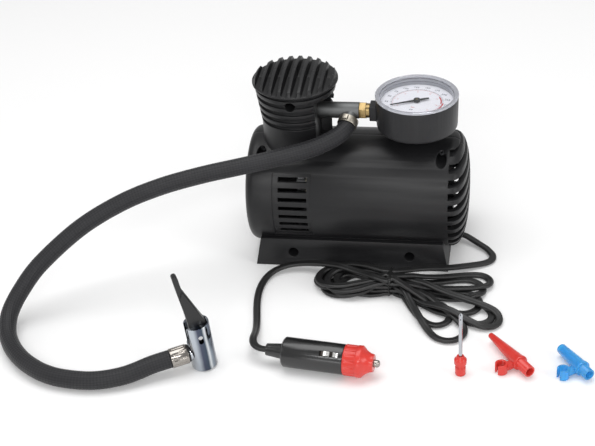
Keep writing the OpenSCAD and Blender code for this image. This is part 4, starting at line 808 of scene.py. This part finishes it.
HOSE_ROUTE = [tube_point(9), tube_point(15), [-7.5, -18.5, 96], [-14, -24, 94],
              [-23, -29.5, 92], [-33, -34, 90.5], [-52, -40, 87.5], [-72, -46, 85], [-98, -54, 82],
              [-125, -62.5, 77], [-151, -72, 69], [-178, -85, 56], [-204, -100, 36], [-216, -113, 22.5],
              [-221, -127, 13.5], [-219, -141, 8.5], [-213, -152.5, 6.3], [-204, -163.5, 6.1],
              [-194, -172, 6.1], [-182, -179, 6.1], [-168, -183, 6.1], [-148, -183.6, 6.2],
              [-129, -178.2, 7.2], chuck_point(-33, 12), chuck_point(-21, 12)]
HOSE_STEP = 0.85
YARN_HEIGHT = 0.0001
# How far the edges of each rigid piece are rounded
ROUNDED = {"housing_front": 0.5, "housing_rear": 0.5, "gauge_case": 0.5, "chuck_body": 0.25,
           "chuck_lever": 0.7, "outlet_manifold": 0.25, "gauge_nut": 0.3, "hose_clip": 0.15,
           "plug_barrel": 0.4, "plug_collar": 0.4, "needle_base": 0.25, "red_nozzle": 0.3,
           "blue_nozzle": 0.3, "chuck_ferrule": 0.3}
FINISHED = {}


def dressed(*nodes):
    """The pieces that stand for these nodes, made on first use where their edges are rounded."""
    for node in nodes:
        if node not in FINISHED:
            FINISHED[node] = softened(node, ROUNDED[node]) if node in ROUNDED else NODES[node]
    return [FINISHED[node] for node in nodes]


def sprung(node):
    """A copy of a spring, which stands for it."""
    mesh = NODES[node].data.copy()
    coil = piece(node + "_coil", mesh, BODY_OF[node], finish_of(node), [node])
    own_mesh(coil)
    FINISHED[node] = coil


def yarns(n, m):
    """How far crossing yarns stand out from the hose, at n points along it and m round it."""
    run = np.arange(n)[:, None] * HOSE_STEP
    turn = np.arange(m)[None, :] / m
    one = np.sin((run / YARN_PITCH + turn * YARNS) * 2 * np.pi)
    two = np.sin((run / YARN_PITCH - turn * YARNS) * 2 * np.pi)
    return YARN_HEIGHT * one * two - YARN_HEIGHT


def make_hose():
    """The braided hose from the outlet to the chuck."""
    line = smooth_route(HOSE_ROUTE, HOSE_STEP * MM)
    mesh = tube(line, circle(0.006, 96), swell=yarns)
    hose = piece("air_hose_braided", mesh, "body", "braid", ["air_hose"], 0)
    (dressed("chuck_ferrule", "chuck_body", "chuck_seal", "chuck_plunger", "chuck_lever",
                                "lever_pin") + [port_washer()])


def port_washer():
    """The dark washer between the ferrule and the chuck."""
    port = chuck_frame() @ Matrix.Translation((0, 0, 0.012)) @ Matrix.Rotation(math.radians(-90), 4, "Y")
    washer = turned_ring([(5.1, 8.3), (5.75, 8.4), (5.95, 8.9), (5.75, 9.5), (5.1, 9.6)], port)
    return piece("port_washer", washer, "body", "rubber")


# ---------- Power cord ----------

LEAD = [[73, 0, 5.2], [76, 0, 5.2], [79.5, -1.2, 4.5], [84, -4, 3.4], [89, -8, 2.6], [95, -13, 2],
        [100, -17.5, 2], [101.5, -23, 2.2], [99, -28, 3], [93, -30.5, 4.2], [86, -33, 6.2], [78, -37, 9.2],
        [69, -42.2, 10.8], [60, -44.2, 11.4], [50, -47.2, 12], [42, -53, 12.4]]
TAIL = [[10.5, -59, 12.8], [2, -54.5, 12.6], [-7, -50, 12.5], [-16, -46.8, 12.6], [-25, -45, 13],
        [-34, -44.6, 13.2], [-43, -45, 12], [-51, -47.5, 9], [-56.5, -52.5, 6], [-59.5, -59.5, 3.6],
        [-60.5, -68, 2], [-60.5, -78, 1.6], [-59, -90, 1.6], [-56.5, -103, 1.7], [-54.6, -113, 2.6],
        [-53.4, -122, 5], [-52.8, -130, 7.8], [-52.4, -136.5, 9.8], [-51.3, -141.8, 10.6],
        [-49.2, -145.6, 10.8]]
PLUG_AT = (-30.1, -149.6, 10.45)
PLUG_ALONG = (math.cos(math.radians(-7)), math.sin(math.radians(-7)), 0)


def plug_point(s):
    """A point s millimetres along the plug from the rear of its barrel."""
    return [PLUG_AT[k] + s * PLUG_ALONG[k] for k in range(3)]


TIE_X, TIE_Y = 30, -64.9
# Places of the strands in the tie: across and up
SLOTS = [(5.4, 13.2), (0, 13.2), (-5.4, 10.5), (5.4, 10.5), (-5.4, 7.8), (0, 10.5), (5.4, 7.8), (-5.4, 5.1),
         (0, 7.8), (5.4, 5.1), (-5.4, 2.4), (0, 5.1), (5.4, 2.4), (0, 2.4), (-5.4, 13.2)]
# Folds left of the tie: middle and radius of each
LEFT_FOLDS = [(-7, -59.5, 15.5), (-1, -63, 15), (4, -59, 14), (-9, -58, 14.5), (1, -64, 14.5), (6, -61, 13.5),
              (-4, -60, 16)]
# Folds right of the tie: direction, reach and radius of each
RIGHT_FOLDS = [(13, 66, 11), (-26, 79, 11.5), (-50, 70, 13), (4, 60, 13), (-25, 73, 12), (-47, 52, 11.5),
               (-16, 60, 14)]


TIE_HALF = 6
FOLD_SWINGS = (118, 75, 35, 0, -35, -75, -118)
LOWEST_FOLD, FOLD_RISE = 1.5, 0.45


def fold(y_from, y_to, middle, radius, heading, height):
    """Points from one strand of the tie round a fold and back to another."""
    across = 1 if y_from > y_to else -1
    if math.cos(heading) < 0:
        across = -across
    angles = [heading + math.radians(swing * across) for swing in FOLD_SWINGS]
    return [[middle[0] + radius * math.cos(a), middle[1] + radius * math.sin(a), height] for a in angles]


def cord_points():
    """The cord's route: the lead, to and fro through the tie with a fold at each end, and the tail."""
    points = list(LEAD)
    slots = [(TIE_Y + y, z) for y, z in SLOTS]
    for k, (y, z) in enumerate(slots):
        way = -1 if k % 2 == 0 else 1
        points += [[TIE_X + way * dx, y, z] for dx in (-TIE_HALF, 0, TIE_HALF)]
        folds_left = len(slots) - 1 - k
        if not folds_left:
            break
        if way < 0:
            *middle, radius = LEFT_FOLDS[k // 2]
            heading = math.pi
        else:
            heading, reach, radius = RIGHT_FOLDS[k // 2]
            heading = math.radians(heading)
            middle = (TIE_X + TIE_HALF + (reach - radius) * math.cos(heading),
                      TIE_Y + (reach - radius) * math.sin(heading))
        points += fold(y, slots[k + 1][0], middle, radius, heading, LOWEST_FOLD + FOLD_RISE * folds_left / 2)
    return points + TAIL + [plug_point(-15.5), plug_point(-11.5)]


# How near strands may lie, across and up, and how far along the cord they must be apart to push at all
STRAND_WIDTH, STRAND_HEIGHT = 4.4, 2.75
NEIGHBOURS = 7
# How strongly a round of settling lifts, spreads, lowers and straightens, and calls strands back
LIFT, SPREAD, SINK = 1.9, 0.7, 0.05
STRAIGHTEN_UP, STRAIGHTEN_ACROSS, CALL_BACK = 0.5, 0.25, 0.04
FLOOR_CLEARANCE = 1.65
SETTLING_ROUNDS = 90


def settled(line, fixed):
    """Pushes strands apart that lie in each other, lets them sink to the floor and keeps them smooth."""
    p = line / MM
    rest = p.copy()
    loose = ~fixed
    index = np.arange(len(p))
    behind = index[None, :] - index[:, None]
    for _ in range(SETTLING_ROUNDS):
        gap = p[:, None] - p[None]
        level = gap[..., 0] ** 2 + gap[..., 1] ** 2
        nearness = np.sqrt(level / STRAND_WIDTH ** 2 + gap[..., 2] ** 2 / STRAND_HEIGHT ** 2)
        near = (np.abs(behind) > NEIGHBOURS) & (nearness < 1)
        depth = np.where(near, 1 - nearness, 0)
        count = np.maximum(near.sum(1), 1)
        above = np.where(np.abs(gap[..., 2]) < 0.05, np.sign(behind), np.sign(gap[..., 2]))
        away = gap[..., :2] / np.maximum(np.sqrt(level), 0.4)[..., None]
        p[loose, 2] += ((depth * above).sum(1) / count * LIFT)[loose] - SINK
        p[loose, :2] += ((away * depth[..., None]).sum(1) / count[:, None] * SPREAD)[loose]
        for _ in range(3):
            mean = (np.roll(p, 1, 0) + np.roll(p, -1, 0)) / 2
            p[loose, 2] += STRAIGHTEN_UP * (mean[loose, 2] - p[loose, 2])
            p[loose, :2] += STRAIGHTEN_ACROSS * (mean[loose, :2] - p[loose, :2])
        p[loose, :2] += CALL_BACK * (rest[loose, :2] - p[loose, :2])
        p[loose, 2] = np.maximum(p[loose, 2], FLOOR_CLEARANCE)
    return p * MM


# The two cores of the flat cord: half their distance and their radius
CORE_OFFSET, CORE_RADIUS = 1.27, 1.3
ROUTE_STEP, SMOOTH_STEP, CORD_STEP = 2.2, 1.1, 1.4
FIXED_AT_GLAND, FIXED_AT_PLUG = 12, 14


def twin_section():
    """The section of the flat cord in metres, two round cores side by side."""
    left = [(-CORE_OFFSET + CORE_RADIUS * math.cos(math.radians(a)), CORE_RADIUS * math.sin(math.radians(a)))
            for a in (-60, -90, -120, -150, 180, 150, 120, 90, 60)]
    return [(x * MM, y * MM) for x, y in [(-x, y) for x, y in left[::-1]] + left]


def make_cord():
    """The flat power cord from the gland through the tied bundle to the plug."""
    line = smooth_route(cord_points(), ROUTE_STEP * MM)
    fixed = (np.abs(line[:, 0] / MM - TIE_X) < 4) & (np.abs(line[:, 1] / MM - TIE_Y) < 9)
    fixed[:FIXED_AT_GLAND] = True
    fixed[-FIXED_AT_PLUG:] = True
    line = settled(line, fixed)
    fine = respaced(smooth_route(line / MM, SMOOTH_STEP * MM), CORD_STEP * MM)
    run = np.arange(len(fine)) * CORD_STEP
    roll = 0.13 * np.sin(run / 31.0) + 0.09 * np.sin(run / 13.7 + 1.0)
    roll[:20] *= np.linspace(0, 1, 20)
    mesh = tube(fine, twin_section(), roll)
    cord = piece("power_cord_flat", mesh, "body", "cord",
                 ["cord_lead", "cord_hank", "cord_tail"], 60)
    (dressed("plug_barrel", "plug_collar", "plug_tip", "plug_fuse", "plug_spring",
                                "plug_contact_upper", "plug_contact_lower") + [wire_tie()])


def wire_tie():
    """A wire tie once round the bundle, its ends twisted together on top."""
    y0, y1, z0, z1, r = TIE_Y - 8.7, TIE_Y + 8.7, 0.8, 15.3, 3.4
    loop = []
    for y, z, start in ((y1 - r, z1 - r, 0), (y0 + r, z1 - r, 90), (y0 + r, z0 + r, 180),
                        (y1 - r, z0 + r, 270)):
        for a in range(start, start + 91, 15):
            loop.append((y + r * math.cos(math.radians(a)), z + r * math.sin(math.radians(a))))
    line = np.array([[TIE_X + 0.5 * math.sin(k / len(loop) * 2 * math.pi), y, z]
                     for k, (y, z) in enumerate(loop + loop[:2])]) * MM
    band = tube(respaced(line, 0.0008), [(0.0009 * math.cos(a), 0.00045 * math.sin(a))
                                         for a in np.arange(12) * math.pi / 6])
    bm = bmesh.new()
    bm.from_mesh(band)
    for side in (-1, 1):
        twist = [[TIE_X + side * 0.55 * math.cos(t), TIE_Y - 4.5 - 1.1 * t / 2 + side * 0.3,
                  15.4 + 0.45 * math.sin(t) * side + 0.2 * t] for t in np.linspace(0, 9, 28)]
        bm.from_mesh(tube(respaced(np.array(twist) * MM, 0.0005), circle(0.00045, 10)))
    return piece("wire_tie", bm, "body", "tie", ["cord_tie"], 50)


sprung("valve_spring")
sprung("plug_spring")
make_hose()
make_cord()
dressed(*ROUNDED)

# ---------- Screws ----------

# The housing's screw wells, as (x, z), and how deep the heads sit
WELLS = [(-41, 10.6), (41, 10.6), (-62.1, 79.7), (62.1, 79.7), (-39, 121)]
HEAD_Y = -9
# The cylinder's screws, round the axis of the cap
CYLINDER_SCREWS, CYLINDER_TOP = 10, 110.9


def loose_points(places):
    """A mesh of single points, given in millimetres."""
    mesh = bpy.data.meshes.new("points")
    mesh.from_pydata([[c * MM for c in p] for p in places], [], [])
    return mesh


def make_screws():
    """Five screws across the housing and four short ones down into the cylinder."""
    tree = screw_tree()
    long_ones = grown(tree, loose_points([(x, HEAD_Y, z) for x, z in WELLS]), Turn=(math.pi / 2, 0.0, 0.0),
                      Material=FINISH["black_steel"])
    corners = [(CAP_X + x, y, CYLINDER_TOP) for x in (-CYLINDER_SCREWS, CYLINDER_SCREWS)
               for y in (-CYLINDER_SCREWS, CYLINDER_SCREWS)]
    short_ones = grown(tree, loose_points(corners),
                       Head_radius=0.0024, Head_height=0.0016, Shank_length=0.0145,
                       Material=FINISH["black_steel"])
    bm = bmesh.new()
    bm.from_mesh(long_ones)
    bm.from_mesh(short_ones)
    piece("cross_head_screws", bm, "body", "black_steel", ["screws"], 30)


make_screws()

# ---------- Dial ----------

# The face's middle, the angle of zero, how far the scale turns back from it, and the way up on the face
DIAL = Vector((44.2, 0, 112.8))
ZERO, SWEEP = 202, 256
TOP = (2 * ZERO - SWEEP) / 2
PRINT_LOW, PRINT_HIGH = -0.02, 0.05
FONT_SIZE = 1.35  # per height of a figure


def arc_band(bm, r0, r1, a0, a1):
    """A flat printed arc between two radii, from one angle to another."""
    steps = max(4, int(abs(a1 - a0) / 3))
    rings = []
    for k in range(steps + 1):
        a = math.radians(a0 + (a1 - a0) * k / steps)
        rings.append([bm.verts.new((DIAL + Vector((r * math.cos(a), r * math.sin(a), z))) * MM)
                      for r, z in ((r0, PRINT_LOW), (r1, PRINT_LOW), (r1, PRINT_HIGH), (r0, PRINT_HIGH))])
    for one, two in zip(rings, rings[1:]):
        for k in range(4):
            bm.faces.new((one[k], one[(k + 1) % 4], two[(k + 1) % 4], two[k]))
    bm.faces.new(rings[0][::-1])
    bm.faces.new(rings[-1])
    bmesh.ops.recalc_face_normals(bm, faces=bm.faces)


def figures(bm, words):
    """Raised figures: each word with its height, radius and angle on the dial."""
    for word, tall, radius, angle in words:
        curve = bpy.data.curves.new("word", "FONT")
        curve.body = word
        curve.align_x = "CENTER"
        curve.align_y = "CENTER"
        curve.size = tall * FONT_SIZE * MM
        curve.extrude = 0.00003
        curve.resolution_u = 3
        holder = bpy.data.objects.new("word", curve)
        bpy.context.scene.collection.objects.link(holder)
        mesh = bpy.data.meshes.new_from_object(holder.evaluated_get(bpy.context.evaluated_depsgraph_get()))
        bpy.data.objects.remove(holder)
        a = math.radians(angle)
        at = (DIAL + Vector((radius * math.cos(a), radius * math.sin(a), 0.03))) * MM
        mesh.transform(Matrix.Translation(at) @ Matrix.Rotation(math.radians(TOP - 90), 4, "Z"))
        bm.from_mesh(mesh)


def make_dial():
    """Two ring scales with their figures, and the red band where the pressure is too high."""
    tree = scale_mark_tree()
    start, sweep = math.radians(ZERO), math.radians(-SWEEP)
    dark, red = bmesh.new(), bmesh.new()
    # Short and long marks of each scale
    for bm, count, radius, length, width, ink_name in (
            (dark, 61, 0.0179, 0.0009, 0.00014, "black_ink"), (dark, 13, 0.0177, 0.0015, 0.0003, "black_ink"),
            (red, 43, 0.0163, 0.0007, 0.00012, "red_ink"), (red, 8, 0.0161, 0.0012, 0.00026, "red_ink")):
        marks = grown(tree, Count=count, Radius=radius, Start=start, Sweep=sweep, Length=length, Width=width,
                      Material=FINISH[ink_name])
        marks.transform(Matrix.Translation(DIAL * MM))
        bm.from_mesh(marks)
    figures(dark, [(str(25 * k), 2.0, 20.8, ZERO - SWEEP * k / 12) for k in range(13)])
    figures(red, [(str(3 * k), 1.35, 13.9, ZERO - SWEEP * k / 7) for k in range(8)])
    figures(dark, [("psi", 1.7, 11.3, TOP - 180)])
    figures(red, [("bar", 1.5, 8.0, TOP - 180)])
    arc_band(dark, 17.3, 17.42, ZERO, ZERO - SWEEP)
    arc_band(red, 16.7, 16.82, ZERO, ZERO - SWEEP)
    piece("dial_outer_scale", dark, "body", "black_ink", sharp=30)
    piece("dial_inner_scale", red, "body", "red_ink", sharp=30)
    band = bmesh.new()
    arc_band(band, 16.0, 16.9, 26, -7)
    arc_band(band, 17.4, 18.2, -5, ZERO - SWEEP)
    piece("dial_danger_band", band, "body", "band_ink", sharp=30)


make_dial()


# ---------- The CAD solids that stay in view, the floor and the world ----------

def finish_nodes():
    """Gives every CAD solid that no piece stands for its finish."""
    for name, node in NODES.items():
        if not node.hide_render:
            node.data.materials.clear()
            node.data.materials.append(FINISH[finish_of(name)])


def floor():
    bpy.ops.mesh.primitive_plane_add(size=8, location=(0, 0, -0.0002))
    ground = bpy.context.object
    ground.name = "pale_floor"
    place = surface("pale_floor")
    colour = place.noise(3.0, 2.0).blend((0.9, 0.9, 0.9), (0.92, 0.92, 0.92))
    ground.data.materials.append(finish(place, {"Base Color": colour, "Roughness": 0.8},
                                        Emission_Color=(1, 1, 1, 1), Emission_Strength=0.07))


def studio(strength):
    """An even white world, with colours shown as they are."""
    world = bpy.data.worlds.new("studio")
    world.use_nodes = True
    background = world.node_tree.nodes["Background"]
    background.inputs["Color"].default_value = (1, 1, 1, 1)
    background.inputs["Strength"].default_value = strength
    bpy.context.scene.world = world
    bpy.context.scene.view_settings.view_transform = "Standard"


finish_nodes()
floor()
studio(0.42)
